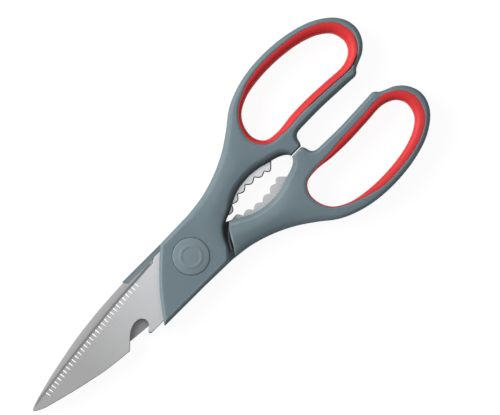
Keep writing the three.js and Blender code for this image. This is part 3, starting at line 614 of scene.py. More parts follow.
def closed_smooth_path(points, steps):
    """A closed smooth curve through the points, with knots spaced by the root of their distance."""
    knots = np.array(points, float)
    path = []
    for i in range(len(knots)):
        a, b, c, d = (knots[(i + k) % len(knots)] for k in (-1, 0, 1, 2))
        ta, tb, tc = (math.sqrt(np.linalg.norm(q - p)) for p, q in ((a, b), (b, c), (c, d)))
        start = ((b - a) / ta - (c - a) / (ta + tb) + (c - b) / tb) * tb
        end = ((c - b) / tb - (d - b) / (tb + tc) + (d - c) / tc) * tb
        t = np.linspace(0, 1, steps, endpoint=False)[:, None]
        path.append(b + t * (start + t * (3 * (c - b) - 2 * start - end + t * (2 * (b - c) + start + end))))
    return np.concatenate(path)


def arc_path(radius, start, end, step=PATH_STEP):
    """Points about a step apart on an arc round the pivot, both ends included."""
    angle = np.linspace(start, end, max(3, round(radius * abs(end - start) / step)))
    return radius * np.stack([np.cos(angle), np.sin(angle)], 1)


def handle_outline():
    """The handle's outline, that of its outer face, which laps over the jaw, and the edge at each point."""
    heel_corner, spine_corner = COVER_FRONT
    tail_start = -math.asin(COVER_HALF_WIDTH / TAIL_RADIUS)
    tail = arc_path(TAIL_RADIUS, tail_start, TAIL_END)
    heel = corner_path(ARM_EDGE[-1], heel_corner, spine_corner, COVER_CORNER)
    toe = corner_path(heel_corner, spine_corner, tail[0], COVER_CORNER)
    front_edge = straight_path(heel[-1], toe[0])
    bow = COVER_FRONT_BOW * np.sin(np.linspace(0, math.pi, len(front_edge)))
    front_edge -= left_of(np.gradient(front_edge, axis=0)) * bow[:, None]
    ring = smooth_path([BEAK, *RING_EDGE, *ARM_EDGE])
    parts = [
        (straight_path(toe[-1], tail[0]), COVER_EDGE),
        (tail, COVER_EDGE),
        (smooth_path([tail[-1], *EYE_EDGE]), LAPPED_EDGE),
        (straight_path(EYE_EDGE[-1], STOP_END), STOP_EDGE),
        (smooth_path([STOP_END, *LUG_AND_BAR]), BAR_EDGE),
        (straight_path(LUG_AND_BAR[-1], BEAK), STOP_EDGE),
        (ring[:-ARM_EDGE_STEPS], LOOP_EDGE),
        (ring[-ARM_EDGE_STEPS - 1:], CROWNED_EDGE),
        (straight_path(ARM_EDGE[-1], heel[0]), COVER_EDGE),
        (heel, FRONT_EDGE),
        (front_edge, FRONT_EDGE),
        (toe, FRONT_EDGE),
    ]
    outline = np.concatenate([path[:-1] for path, _ in parts])
    edges = np.concatenate([np.tile(edge, (len(path) - 1, 1)) for path, edge in parts])
    reach = np.arange(-EDGE_BLEND, EDGE_BLEND + 1)
    smoothed = sum(np.roll(edges, i, axis=0) for i in reach) / len(reach)
    x, y = outline.T
    smoothed[:, :2] *= np.where(y < EYE_SIDE, np.interp(x, EYE_TAPER_PLACES, EYE_TAPER), 1)[:, None]
    along = np.clip((x - EYE_LIP_ENDS[0]) / (EYE_LIP_ENDS[1] - EYE_LIP_ENDS[0]), 0, 1)
    lip = np.where(y < EYE_SIDE, EYE_LIP * np.sqrt(np.sin(math.pi * along).clip(0)), 0)
    across = left_of(np.roll(outline, -1, axis=0) - np.roll(outline, 1, axis=0))
    return outline, outline - across * lip[:, None], smoothed


def creased(distance, width, height):
    """The fall of a rounded edge that meets the face at a slight crease."""
    slope = height * np.clip(1 - distance / width, 0, 1)
    return (1 - CREASE) * rounded(distance, width, height) + CREASE * slope


def dished(distance, width, height):
    """The fall of a face that bends down ever more towards an edge."""
    return height * np.clip(1 - distance / width, 0, 1) ** 2


def eased(share):
    """A share from 0 to 1 that starts and ends gently."""
    share = np.clip(share, 0, 1)
    return share * share * (3 - 2 * share)


def faded(distance, width):
    """How much of a mark is left at a distance from its middle."""
    return np.exp(-(distance / width) ** 2)


def finger_seats():
    """The finger hole, its outward directions, and the liner's walls at the outer and the inner face."""
    hole = closed_smooth_path(FINGER_HOLE, HOLE_STEPS)
    outward = -left_of(np.roll(hole, -1, axis=0) - np.roll(hole, 1, axis=0))
    turn = np.arctan2(outward[:, 1], outward[:, 0]) / (2 * math.pi) * len(OUTER_WALL) % len(OUTER_WALL)
    first = turn.astype(int)
    share = eased(turn - first)
    outer, inner = (walls[first] * (1 - share) + walls[(first + 1) % len(walls)] * share
                    for walls in (np.array(OUTER_WALL), np.array(INNER_WALL)))
    on_bar = np.clip(1 - np.abs(turn - BAR_TURN) / BAR_TURN_REACH, 0, 1)
    outer *= 1 - BAR_THINNING * on_bar * eased((BAR_THIN_FROM - hole[:, 0]) / (BAR_THIN_FROM - BAR_THIN_TO))
    grown = eased((hole[:, 0] - LINER_LIP_END) / LINER_TAPER)
    return hole, outward, outer, LINER_LIP + (inner - LINER_LIP) * grown


def handle_mesh():
    """The moulding, from reliefs of its outer and inner faces over the handle's plan."""
    outline, lapped, edges = handle_outline()
    hole, outward, outer_wall, inner_wall = finger_seats()
    outer_seat, inner_seat = (hole + outward * wall[:, None] for wall in (outer_wall, inner_wall))
    recess, bore = circle(CAP_RECESS_RADIUS, RECESS_POINTS), circle(BORE_RADIUS, BORE_POINTS)
    arc = arc_path(RELIEF_RADIUS, RELIEF_START, math.pi / 2)
    foot_x = RELIEF_FLARE[0][0]
    flare = smooth_path([*RELIEF_FLARE, arc[0]])
    relief_wall = np.concatenate([[(foot_x, RELIEF_FOOT)], flare, arc[1:]])
    around_cover = [(-BEYOND_COVER, RELIEF_RADIUS), (-BEYOND_COVER, -BEYOND_COVER), (foot_x, -BEYOND_COVER)]
    relief = np.concatenate([relief_wall, around_cover])
    pocket = np.concatenate([plain_edge, plain_back])
    pocket = pocket + WALL_LIP * left_of(np.roll(pocket, -1, axis=0) - np.roll(pocket, 1, axis=0))
    loose = np.concatenate([
        rows_beside(lapped, edges[:, 0]), rows_beside(outline, edges[:, 2]),
        rows_beside(outer_seat, SEAT_ROUND, -1), rows_beside(inner_seat, SEAT_ROUND, -1),
        rows_beside(recess, RECESS_ROUND, -1), rows_beside(relief_wall, RELIEF_ROUND, -1, False),
        grid_over(outline, HANDLE_GRID)])
    loose = loose[is_inside(loose, lapped) & ~is_inside(loose, inner_seat) & ~is_inside(loose, recess)]
    loops = [outline, lapped, outer_seat, inner_seat, recess, bore, pocket]
    plan, triangles = plan_triangles(loops, [relief_wall], loose)

    gap, place = nearest_on(plan, lapped)
    outer_width, outer_fall, inner_width, inner_fall, outer_highlight, inner_highlight, lap_share = (
        np.interp(place, np.arange(len(outline) + 1), np.append(e, e[0])) for e in edges.T)
    inner_gap, _ = nearest_on(plan, outline)
    crown = np.interp(plan[:, 0], CROWN_PLACES, CROWN_SHARES) * dished(gap, CROWN_REACH, 1)
    drop = np.interp(plan[:, 0], COVER_DROP_ENDS, [COVER_DROP, 0])
    radius = np.hypot(*plan.T)
    outer_face = THICKNESS - drop - np.maximum.reduce([
        creased(gap, outer_width, outer_fall) + OUTER_CROWN * crown,
        dished(nearest_on(plan, outer_seat)[0], SEAT_ROUND, SEAT_FALL),
        rounded(np.abs(radius - CAP_RECESS_RADIUS), RECESS_ROUND, RECESS_ROUND)])
    relief_gap, _ = nearest_on(plan, relief_wall, False)
    inner_face = np.maximum.reduce([
        creased(inner_gap, inner_width, inner_fall) + INNER_CROWN * crown,
        dished(nearest_on(plan, inner_seat)[0], SEAT_ROUND, SEAT_FALL),
        rounded(relief_gap, RELIEF_ROUND, RELIEF_ROUND),
        lap_share * EYE_LEDGE_FALL * np.clip((EYE_LEDGE - inner_gap) / EYE_LEDGE_STEP, 0, 1)])
    level = np.ones(len(plan))
    face, seat, floor = range(3)
    tops = [outer_face, level * THICKNESS / 2, level * CAP_RECESS_FLOOR]
    back, wall_lip, under_blade, on_jaw = range(4)
    bottoms = [inner_face, level * (BLADE_INNER - WALL_LIP_DROP), level * (BLADE_INNER + BLADE_OUTER) / 2,
               level * (BLADE_OUTER - EYE_LIP_BITE)]

    middle = plan[triangles].mean(1)
    radius = np.hypot(*middle.T)
    in_relief = is_inside(middle, relief)
    in_recess = radius < CAP_RECESS_RADIUS
    top_kind = np.where(is_inside(middle, outer_seat), seat, np.where(in_recess, floor, face))
    bottom_kind = np.where(in_relief, np.where(is_inside(middle, pocket), under_blade, wall_lip), back)
    bottom_kind[~is_inside(middle, outline)] = on_jaw
    open_plan = ~is_inside(middle, lapped) | is_inside(middle, inner_seat) | (radius < BORE_RADIUS)
    top_kind[open_plan] = OPEN
    mesh, plan_index = solid_over(plan, triangles, top_kind, bottom_kind, tops, bottoms)
    is_outer = np.array([v.co.z for v in mesh.vertices]) > THICKNESS / 2 * MM
    # Painted highlight along the outer and inner creases and along the relief's edge.
    on_outer = outer_highlight * faded(gap - outer_width, OUTER_HIGHLIGHT)
    on_inner = np.maximum(inner_highlight * faded(inner_gap - inner_width + INNER_HIGHLIGHT_SHIFT, INNER_HIGHLIGHT),
                          faded(relief_gap - RELIEF_HIGHLIGHT, RELIEF_HIGHLIGHT))
    set_attribute(mesh, "lighter_tone", np.where(is_outer, on_outer[plan_index], on_inner[plan_index]))
    # Painted shade: nearly black where the outer face laps over the jaw.
    painted_shade = lap_share * faded(gap, LAP_SHADE_REACH)
    set_attribute(mesh, "painted_lap_shade", is_outer * painted_shade[plan_index])
    return mesh


# Moulded polypropylene: slate grey, matt from the fine spark-eroded grain of its mould, a little lighter
# along its creases with painted highlight and on the caps, and nearly black with painted shade where it laps
# over the jaw. The 0.15 mm grain is drawn at 0.4 mm, because finer doesn't show.
MOULD_GRAIN, FLOW_CLOUD = 0.4 * MM, 16 * MM
LIGHTER_SHARE, LAP_SHADE_SHARE = 0.4, 0.88
grey_plastic, tree = new_material("moulded_polypropylene")
place = add_node(tree, "ShaderNodeTexCoord")
eroded = add_node(tree, "ShaderNodeTexNoise", values={"Scale": 1 / MOULD_GRAIN, "Detail": 2.0},
                  links={"Vector": place.outputs["Object"]})
flow = add_node(tree, "ShaderNodeTexNoise", values={"Scale": 1 / FLOW_CLOUD, "Detail": 2.0},
                links={"Vector": place.outputs["Object"]})
clouded = add_node(tree, "ShaderNodeMix", {"data_type": "RGBA"},
                   {"A": linear("#67787f"), "B": linear("#6d7e84")}, {"Factor": flow.outputs["Fac"]})
# A lighter tone: painted highlight along the handle's creases, and the caps' lighter face.
edge = add_node(tree, "ShaderNodeAttribute", {"attribute_name": "lighter_tone"})
amount = add_node(tree, "ShaderNodeMath", {"operation": "MULTIPLY"}, {1: LIGHTER_SHARE},
                  {0: edge.outputs["Fac"]})
tone = add_node(tree, "ShaderNodeMix", {"data_type": "RGBA"}, {"B": linear("#93a1a6")},
                {"A": clouded.outputs["Result"], "Factor": amount.outputs["Value"]})
# Painted shade where the arm laps over the jaw: nearly black.
lap = add_node(tree, "ShaderNodeAttribute", {"attribute_name": "painted_lap_shade"})
lap_share = add_node(tree, "ShaderNodeMath", {"operation": "MULTIPLY"}, {1: LAP_SHADE_SHARE}, {0: lap.outputs["Fac"]})
tone = add_node(tree, "ShaderNodeMix", {"data_type": "RGBA"}, {"B": linear("#0f0d0e")},
                {"A": tone.outputs["Result"], "Factor": lap_share.outputs["Value"]})
dull = add_node(tree, "ShaderNodeMapRange", values={"To Min": 0.46, "To Max": 0.58},
                links={"Value": eroded.outputs["Fac"]})
grain = add_node(tree, "ShaderNodeBump", values={"Strength": 0.25, "Distance": 0.03 * MM},
                 links={"Height": eroded.outputs["Fac"]})
plastic = add_node(tree, "ShaderNodeBsdfPrincipled", values={"IOR": 1.49, "Specular IOR Level": 0.3}, links={
    "Base Color": tone.outputs["Result"], "Roughness": dull.outputs["Result"],
    "Normal": grain.outputs["Normal"]})
add_node(tree, "ShaderNodeOutputMaterial", links={"Surface": plastic.outputs["BSDF"]})

front_moulding = handle_mesh()
add_piece("rear_handle_moulding", turned_over(front_moulding), [grey_plastic], "rear_half",
          "rear_handle")


# Rear finger liner: soft thermoplastic rubber, moulded into the ring as a second shot. It is a bead that
# rolls over into the finger hole, wide at the far end, and only a lip at the near end of the inner face.

LINER_FIT = 0.03
LINER_DROP = 0.45
LINER_STEP_RISE = 0.15
SEAM_ROUND, SEAM_ROUND_SHARE, SEAM_POINTS = 0.12, 0.45, 4
OUTER_BEAD, INNER_BEAD = (4.0, 1.0), (3.0, 1.5)
BEAD_LEAST, BEAD_PER_WALL, BEAD_POINTS = 1.6, 1.1, 9


def swept_faces(rows, count, closed):
    """Faces between rows of points that each go round, and from the last row to the first if closed."""
    return [(row * count + i, row * count + (i + 1) % count,
             (row + 1) % rows * count + (i + 1) % count, (row + 1) % rows * count + i)
            for row in range(rows if closed else rows - 1) for i in range(count)]


def liner_mesh():
    """The bead, swept round the finger hole with a section that changes with the liner's walls."""
    hole, outward, outer_wall, inner_wall = finger_seats()

    def half_section(wall, face, sign, most, power):
        """From the seat, over the seam's edge and the bead, down to the finger hole."""
        corner = np.minimum(SEAM_ROUND, SEAM_ROUND_SHARE * wall)
        height = np.minimum(most, BEAD_LEAST + BEAD_PER_WALL * wall)
        section = [(wall, np.full_like(wall, THICKNESS / 2 + LINER_STEP_RISE))]
        section += [(wall - corner * (1 - math.cos(a)), face - sign * corner * (1 - math.sin(a)))
                    for a in np.linspace(0, math.pi / 2, SEAM_POINTS)]
        section += [((wall - corner) * (1 - math.sin(a)), face - sign * height * (1 - math.cos(a)) ** power)
                    for a in np.linspace(0, math.pi / 2, BEAD_POINTS)[1:]]
        return section

    upper = half_section(outer_wall - LINER_FIT, THICKNESS - LINER_DROP, 1, *OUTER_BEAD)
    lower = half_section(inner_wall - LINER_FIT, LINER_DROP, -1, *INNER_BEAD)
    section = upper + lower[::-1]
    rings = [np.column_stack([hole + outward * offset[:, None], np.broadcast_to(z, len(hole))])
             for offset, z in section]
    verts = np.concatenate(rings) * MM
    mesh = bpy.data.meshes.new("liner")
    mesh.from_pydata(verts.tolist(), [], swept_faces(len(rings), len(hole), True))
    shell = bmesh.new()
    shell.from_mesh(mesh)
    bmesh.ops.recalc_face_normals(shell, faces=shell.faces)
    shell.to_mesh(mesh)
    shell.free()
    return mesh


# Thermoplastic rubber: warm red with a soft satin skin and a faint grain from its mould, drawn at
# 0.8 mm so that it shows.
RUBBER_GRAIN, RUBBER_CLOUD = 0.8 * MM, 9 * MM
red_rubber, tree = new_material("thermoplastic_rubber")
place = add_node(tree, "ShaderNodeTexCoord")
skin = add_node(tree, "ShaderNodeTexNoise", values={"Scale": 1 / RUBBER_GRAIN, "Detail": 2.0},
                links={"Vector": place.outputs["Object"]})
cloud = add_node(tree, "ShaderNodeTexNoise", values={"Scale": 1 / RUBBER_CLOUD, "Detail": 1.0},
                 links={"Vector": place.outputs["Object"]})
tone = add_node(tree, "ShaderNodeMix", {"data_type": "RGBA"},
                {"A": linear("#d02a2d"), "B": linear("#d83132")}, {"Factor": cloud.outputs["Fac"]})
dull = add_node(tree, "ShaderNodeMapRange", values={"To Min": 0.52, "To Max": 0.58},
                links={"Value": skin.outputs["Fac"]})
grain = add_node(tree, "ShaderNodeBump", values={"Strength": 0.03, "Distance": 0.03 * MM},
                 links={"Height": skin.outputs["Fac"]})
rubber = add_node(tree, "ShaderNodeBsdfPrincipled", values={"IOR": 1.45, "Specular IOR Level": 0.4}, links={
    "Base Color": tone.outputs["Result"], "Roughness": dull.outputs["Result"],
    "Normal": grain.outputs["Normal"]})
add_node(tree, "ShaderNodeOutputMaterial", links={"Surface": rubber.outputs["BSDF"]})

front_bead = liner_mesh()
add_piece("rear_liner_bead", turned_over(front_bead), [red_rubber], "rear_half",
          "rear_grip_liner")


# Thrust washer: a thin ring punched from nylon sheet. It lies on the rear blade round the stud, and keeps
# the blades from galling. Natural nylon: milky and waxy, with a faint clouding.

NYLON_CLOUD = 2 * MM
nylon, tree = new_material("natural_nylon")
place = add_node(tree, "ShaderNodeTexCoord")
cloud = add_node(tree, "ShaderNodeTexNoise", values={"Scale": 1 / NYLON_CLOUD},
                 links={"Vector": place.outputs["Object"]})
tone = add_node(tree, "ShaderNodeMix", {"data_type": "RGBA"},
                {"A": linear("#e2dfd4"), "B": linear("#ebe9e2")}, {"Factor": cloud.outputs["Fac"]})
waxy = add_node(tree, "ShaderNodeBsdfPrincipled", values={"IOR": 1.53, "Roughness": 0.5},
                links={"Base Color": tone.outputs["Result"]})
add_node(tree, "ShaderNodeOutputMaterial", links={"Surface": waxy.outputs["BSDF"]})
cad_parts["thrust_washer"].data.materials.clear()
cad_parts["thrust_washer"].data.materials.append(nylon)


# Front blade: the same stamping with a bottle-opener notch in its spine. Its bevel stands outside the
# edge curve, and short round grooves are ground from the bevel into its face, so that it grips food.

FRONT_EDGE_END = [(-90.7, 1.85), (-95, 1.5)]
FRONT_SPINE = [(-96, 0.9), (-94.85, -0.15), (-90.7, -1.95), (-80.6, -4.65), (-70.6, -7), (-60.5, -8.95),
               (-48, -10.35)]
NOTCH = [(-44.9, -7.4), (-42.3, -5.1), (-40.3, -3.9), (-37.8, -3.2), (-35.3, -3.5), (-33.8, -4.9),
         (-33.5, -6.5), (-34.2, -8.1), (-36.3, -10)]
CLAW = [(-36.5, -10.8), (-35.7, -11.4)]
SERRATION_PITCH, SERRATION_START, SERRATION_TIP_GAP = 2.03, 11, 8.5
SERRATION_LENGTH, SERRATION_RADIUS, SERRATION_DEPTH = 2.3, 0.37, 0.17

# Freshly ground stainless steel in the grooves: bright as the wheel leaves it, and lightened to nearly white
# as a painted glint.
bright_steel, tree = new_material("bright_ground_stainless_steel")
place = add_node(tree, "ShaderNodeTexCoord")
lines = add_node(tree, "ShaderNodeTexNoise", values={"Scale": 1 / GRINDING_LINE},
                 links={"Vector": place.outputs["Object"]})
sheen = add_node(tree, "ShaderNodeMapRange", values={"To Min": 0.4, "To Max": 0.5},
                 links={"Value": lines.outputs["Fac"]})
steel = add_node(tree, "ShaderNodeBsdfPrincipled", values={"Metallic": 1.0, "Base Color": linear("#e4e4e4")},
                 links={"Roughness": sheen.outputs["Result"]})
add_node(tree, "ShaderNodeOutputMaterial", links={"Surface": steel.outputs["BSDF"]})

# Grinding wheels along the edge: one rod per groove, a pitch apart, tipped so that it rises out of the face.
tree = bpy.data.node_groups.new("serration_wheels", "GeometryNodeTree")
sockets = {}
for name, kind in (("Geometry", "Geometry"), ("Pitch", "Float"), ("Radius", "Float"), ("Length", "Float"),
                   ("Depth", "Float"), ("Finish", "Material")):
    sockets[name] = tree.interface.new_socket(name, in_out="INPUT", socket_type="NodeSocket" + kind)
tree.interface.new_socket("Geometry", in_out="OUTPUT", socket_type="NodeSocketGeometry")
sizes = add_node(tree, "NodeGroupInput")
spots = add_node(tree, "GeometryNodeCurveToPoints", {"mode": "LENGTH"}, {},
                 {"Curve": sizes.outputs["Geometry"], "Length": sizes.outputs["Pitch"]})
upward = add_node(tree, "ShaderNodeCombineXYZ", links={"Z": sizes.outputs["Depth"]})
inward = add_node(tree, "ShaderNodeVectorMath", {"operation": "CROSS_PRODUCT"}, {0: (0, 0, 1)},
                  {1: spots.outputs["Tangent"]})
run = add_node(tree, "ShaderNodeVectorMath", {"operation": "SCALE"}, {},
               {0: inward.outputs["Vector"], "Scale": sizes.outputs["Length"]})
rise = add_node(tree, "ShaderNodeVectorMath", {"operation": "ADD"}, {},
                {0: run.outputs["Vector"], 1: upward.outputs["Vector"]})
square = add_node(tree, "ShaderNodeVectorMath", {"operation": "CROSS_PRODUCT"}, {},
                  {0: spots.outputs["Tangent"], 1: rise.outputs["Vector"]})
unit = add_node(tree, "ShaderNodeVectorMath", {"operation": "NORMALIZE"}, {}, {0: square.outputs["Vector"]})
lift = add_node(tree, "ShaderNodeVectorMath", {"operation": "SCALE"}, {},
                {0: unit.outputs["Vector"], "Scale": sizes.outputs["Radius"]})
sunk = add_node(tree, "ShaderNodeVectorMath", {"operation": "SUBTRACT"}, {},
                {0: lift.outputs["Vector"], 1: upward.outputs["Vector"]})
axes = add_node(tree, "GeometryNodeSetPosition", {}, {},
                {"Geometry": spots.outputs["Points"], "Offset": sunk.outputs["Vector"]})
tilt = add_node(tree, "FunctionNodeAlignRotationToVector", {"axis": "Z"}, {},
                {"Vector": rise.outputs["Vector"]})
double = add_node(tree, "ShaderNodeMath", {"operation": "MULTIPLY"}, {1: 2.0}, {0: sizes.outputs["Length"]})
rod = add_node(tree, "GeometryNodeMeshCylinder", {}, {"Vertices": 16},
               {"Radius": sizes.outputs["Radius"], "Depth": double.outputs["Value"]})
rods = add_node(tree, "GeometryNodeInstanceOnPoints", {}, {},
                {"Points": axes.outputs["Geometry"], "Instance": rod.outputs["Mesh"],
                 "Rotation": tilt.outputs["Rotation"]})
solid = add_node(tree, "GeometryNodeRealizeInstances", {}, {}, {"Geometry": rods.outputs["Instances"]})
finish = add_node(tree, "GeometryNodeSetMaterial", {}, {},
                  {"Geometry": solid.outputs["Geometry"], "Material": sizes.outputs["Finish"]})
add_node(tree, "NodeGroupOutput", {}, {}, {"Geometry": finish.outputs["Geometry"]})

notched_spine = [smooth_path(FRONT_SPINE), smooth_path([FRONT_SPINE[-1], *NOTCH], EDGE_STEP),
                 straight_path(NOTCH[-1], CLAW[0], CORNER_STEP), straight_path(*CLAW, CORNER_STEP),
                 straight_path(CLAW[1], (SHANK_END, -BLADE_HALF_WIDTH))]
front_edge, front_bevel, front_back, front_rounds = blade_lines(FRONT_EDGE_END, notched_spine, True)
mesh = blade_mesh(front_edge, front_bevel, front_back, front_rounds)
blank = bpy.data.objects.new("front_blade_blank", mesh)
bpy.context.scene.collection.objects.link(blank)
blank.data.materials.append(satin_steel)

along = np.concatenate([[0], np.cumsum(np.linalg.norm(np.diff(front_bevel, axis=0), axis=1))])
toothed = front_bevel[(along >= SERRATION_START) & (along <= along[-1] - SERRATION_TIP_GAP)]
wheel_path = bpy.data.curves.new("serration_path", "CURVE")
wheel_path.dimensions = "3D"
wheel_line = wheel_path.splines.new("POLY")
wheel_line.points.add(len(toothed) - 1)
for point, (x, y) in zip(wheel_line.points, toothed):
    point.co = (x * MM, y * MM, BLADE_OUTER * MM, 1)
wheels = bpy.data.objects.new("serration_wheels", wheel_path)
bpy.context.scene.collection.objects.link(wheels)
grinding = wheels.modifiers.new("serration_wheels", "NODES")
grinding.node_group = tree
for name, value in (("Pitch", SERRATION_PITCH * MM), ("Radius", SERRATION_RADIUS * MM),
                    ("Length", SERRATION_LENGTH * MM), ("Depth", SERRATION_DEPTH * MM),
                    ("Finish", bright_steel)):
    grinding[sockets[name].identifier] = value
ready = wheels.evaluated_get(bpy.context.evaluated_depsgraph_get())
rods = bpy.data.objects.new("serration_rods", bpy.data.meshes.new_from_object(ready))
bpy.context.scene.collection.objects.link(rods)
bpy.data.objects.remove(wheels)

cutting = blank.modifiers.new("serrations", "BOOLEAN")
cutting.operation, cutting.solver, cutting.object = "DIFFERENCE", "EXACT", rods
cutting.material_mode = "TRANSFER"
ready = blank.evaluated_get(bpy.context.evaluated_depsgraph_get())
mesh = bpy.data.meshes.new_from_object(ready)
bpy.data.objects.remove(blank)
bpy.data.objects.remove(rods)
grooved = np.array([mesh.materials[p.material_index] == bright_steel for p in mesh.polygons])
add_piece("front_blade_steel", mesh, [*finishes, bright_steel], "front_half", "front_blade")
mark_finishes(mesh, front_bevel, front_back)
for p in np.flatnonzero(grooved).tolist():
    mesh.polygons[p].material_index = len(finishes)


# Front handle and finger liner: the same two-shot moulding as the rear half's, the other way up, of the same
# hard plastic round the front tang and the same rubber in the ring.

add_piece("front_handle_moulding", front_moulding, [grey_plastic], "front_half",
          "front_handle")
add_piece("front_liner_bead", front_bead, [red_rubber], "front_half", "front_grip_liner")


# Pivot: a plated steel stud with a nut, a flat washer and a disc spring, which press the blades together.
# Nickel plate: bright and a little warm, with a faint clouding.

PLATE_CLOUD = 1.5 * MM
nickel, tree = new_material("nickel_plated_steel")
place = add_node(tree, "ShaderNodeTexCoord")
cloud = add_node(tree, "ShaderNodeTexNoise", values={"Scale": 1 / PLATE_CLOUD},
                 links={"Vector": place.outputs["Object"]})
sheen = add_node(tree, "ShaderNodeMapRange", values={"To Min": 0.16, "To Max": 0.28},
                 links={"Value": cloud.outputs["Fac"]})
plate = add_node(tree, "ShaderNodeBsdfPrincipled", values={"Metallic": 1.0, "Base Color": linear("#c9c6bf")},
                 links={"Roughness": sheen.outputs["Result"]})
add_node(tree, "ShaderNodeOutputMaterial", links={"Surface": plate.outputs["BSDF"]})
for name in ("pivot_stud", "pivot_nut", "head_washer", "spring_washer"):
    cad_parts[name].data.materials.clear()
    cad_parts[name].data.materials.append(nickel)


# Pivot caps: one plastic disc pressed into each cover over the stud or the nut. A cap is slightly domed,
# stands a little proud of the cover with a rounded rim, and has a plain raised ring.

CAP_RADIUS = 8.2
CAP_RIM_WIDTH, CAP_RIM_FALL, CAP_RIM_ROWS = 0.7, 0.4, 6
CAP_DOME, CAP_DOME_POWER = 0.5, 2.5
# The cap's face is a little lighter than the cover's, less so towards its rim.
CAP_LIGHTER, CAP_LIGHTER_REACH = 0.55, 0.5
CAP_RING = (3.9, 5.3)
CAP_RING_HEIGHT, CAP_RING_POWER, CAP_RING_ROWS = 0.11, 0.6, 13
CAP_OUTER_ROW, CAP_OUTER_ROW_GAPS, CAP_INNER_ROW, CAP_MIDDLE = 0.6, (0.4, 0.1), 0.8, 0.2
CAP_STEPS = 96


def cap_mesh():
    """The disc, turned round the pivot from its profile."""
    rim = np.linspace(0, math.pi / 2, CAP_RIM_ROWS)
    ring_low, ring_high = CAP_RING
    rim_gap, ring_gap = CAP_OUTER_ROW_GAPS
    radii = np.concatenate([
        CAP_RADIUS - CAP_RIM_WIDTH * (1 - np.cos(rim)),
        np.arange(CAP_RADIUS - CAP_RIM_WIDTH - rim_gap, ring_high + ring_gap, -CAP_OUTER_ROW),
        np.linspace(ring_high, ring_low, CAP_RING_ROWS),
        np.arange(ring_low - CAP_OUTER_ROW, CAP_MIDDLE, -CAP_INNER_ROW)])
    across_ring = math.pi * (radii - ring_low) / (ring_high - ring_low)
    on_ring = np.clip(np.sin(across_ring), 0, 1) ** CAP_RING_POWER
    on_ring[(radii > ring_high) | (radii < ring_low)] = 0
    face = THICKNESS - CAP_DOME * (radii / CAP_RADIUS) ** CAP_DOME_POWER + CAP_RING_HEIGHT * on_ring
    face[:CAP_RIM_ROWS] -= CAP_RIM_FALL * (1 - np.sin(rim))
    profile = [(CAP_RADIUS, CAP_RECESS_FLOOR), *zip(radii, face)]
    angle = np.linspace(0, 2 * math.pi, CAP_STEPS, endpoint=False)
    verts = [(r * math.cos(a) * MM, r * math.sin(a) * MM, z * MM) for r, z in profile for a in angle]
    faces = swept_faces(len(profile), CAP_STEPS, False)
    faces.append(list(range((len(profile) - 1) * CAP_STEPS, len(profile) * CAP_STEPS)))
    faces.append(list(range(CAP_STEPS))[::-1])
    mesh = bpy.data.meshes.new("cap")
    mesh.from_pydata(verts, [], faces)
    lightened = [CAP_LIGHTER * min(1, (CAP_RADIUS - r) / CAP_LIGHTER_REACH) for r, _ in profile]
    set_attribute(mesh, "lighter_tone", np.repeat(lightened, CAP_STEPS))
    return mesh


front_cap = cap_mesh()
add_piece("rear_cap_disc", turned_over(front_cap), [grey_plastic], "rear_half",
          "rear_pivot_cap")
add_piece("front_cap_disc", front_cap, [grey_plastic], "front_half", "front_pivot_cap")


# Studio: a plain table under a plain sky, one large soft lamp from the +Y side and a weak one overhead, and a
# camera straight above. The camera and the steel see the table and the sky white, but they give little light.

scene = bpy.context.scene
scene.view_settings.view_transform = "Standard"

TABLE_HALF, TABLE_TOP, TABLE_GLOW = 2.0, -0.0001, 0.93
SKY_LIGHT = 0.3


def whiteness(tree):
    """1 for a ray that the camera or a mirror-like surface sees, and 0 for one that lights a matt surface."""
    path = add_node(tree, "ShaderNodeLightPath")
    mirrored = add_node(tree, "ShaderNodeMath", {"operation": "MAXIMUM"}, {},
                        {0: path.outputs["Is Glossy Ray"], 1: path.outputs["Is Transmission Ray"]})
    seen = add_node(tree, "ShaderNodeMath", {"operation": "MAXIMUM"}, {},
                    {0: path.outputs["Is Camera Ray"], 1: mirrored.outputs["Value"]})
    return seen.outputs["Value"]


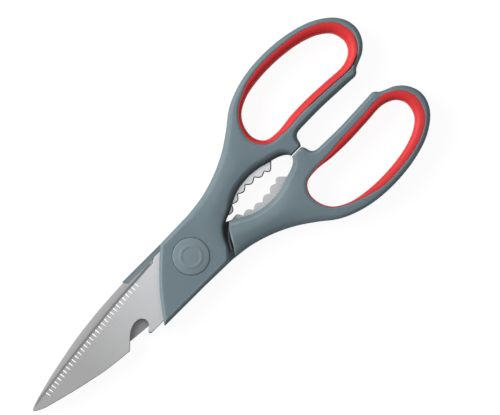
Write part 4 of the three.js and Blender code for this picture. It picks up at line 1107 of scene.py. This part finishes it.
table = bpy.data.meshes.new("table")
corners = [(x * TABLE_HALF, y * TABLE_HALF, TABLE_TOP) for x, y in ((-1, -1), (1, -1), (1, 1), (-1, 1))]
table.from_pydata(corners, [], [(0, 1, 2, 3)])
floor = bpy.data.objects.new("table", table)
scene.collection.objects.link(floor)
white_table, tree = new_material("white_table")
glow = add_node(tree, "ShaderNodeMath", {"operation": "MULTIPLY"}, {1: TABLE_GLOW}, {0: whiteness(tree)})
matt = add_node(tree, "ShaderNodeBsdfDiffuse", values={"Color": linear("#606060")})
white = add_node(tree, "ShaderNodeEmission", links={"Strength": glow.outputs["Value"]})
both = add_node(tree, "ShaderNodeAddShader", links={0: matt.outputs["BSDF"], 1: white.outputs["Emission"]})
add_node(tree, "ShaderNodeOutputMaterial", links={"Surface": both.outputs["Shader"]})
table.materials.append(white_table)

sky = bpy.data.worlds.new("white_sky")
scene.world = sky
sky.use_nodes = True
tree = sky.node_tree
tree.nodes.clear()
strength = add_node(tree, "ShaderNodeMapRange", values={"To Min": SKY_LIGHT, "To Max": 1.0},
                    links={"Value": whiteness(tree)})
light = add_node(tree, "ShaderNodeBackground", links={"Strength": strength.outputs["Result"]})
add_node(tree, "ShaderNodeOutputWorld", links={"Surface": light.outputs["Background"]})

TARGET = Vector((0.033, -0.003, 0.009))
LAMPS = [("key_lamp", (-0.317, 0.647, 0.47), 0.7, 10.4), ("top_lamp", (0.3, 0.1, 0.9), 0.5, 0.8)]
for name, spot, size, power in LAMPS:
    lamp = bpy.data.lights.new(name, "AREA")
    lamp.shape, lamp.size, lamp.energy = "SQUARE", size, power
    stand = bpy.data.objects.new(name, lamp)
    scene.collection.objects.link(stand)
    stand.location = spot
    stand.rotation_euler = (TARGET - Vector(spot)).to_track_quat("-Z", "Y").to_euler()

VIEW_DISTANCE, VIEW_WIDTH, VIEW_TURN = 1.4, 0.2169, math.radians(-44.94)
lens = bpy.data.cameras.new("photo_camera")
lens.sensor_width = 36
lens.lens = lens.sensor_width * VIEW_DISTANCE / VIEW_WIDTH
camera = bpy.data.objects.new("photo_camera", lens)
scene.collection.objects.link(camera)
camera.location = TARGET + Vector((0, 0, VIEW_DISTANCE))
camera.rotation_euler = (0, 0, VIEW_TURN)
scene.camera = camera
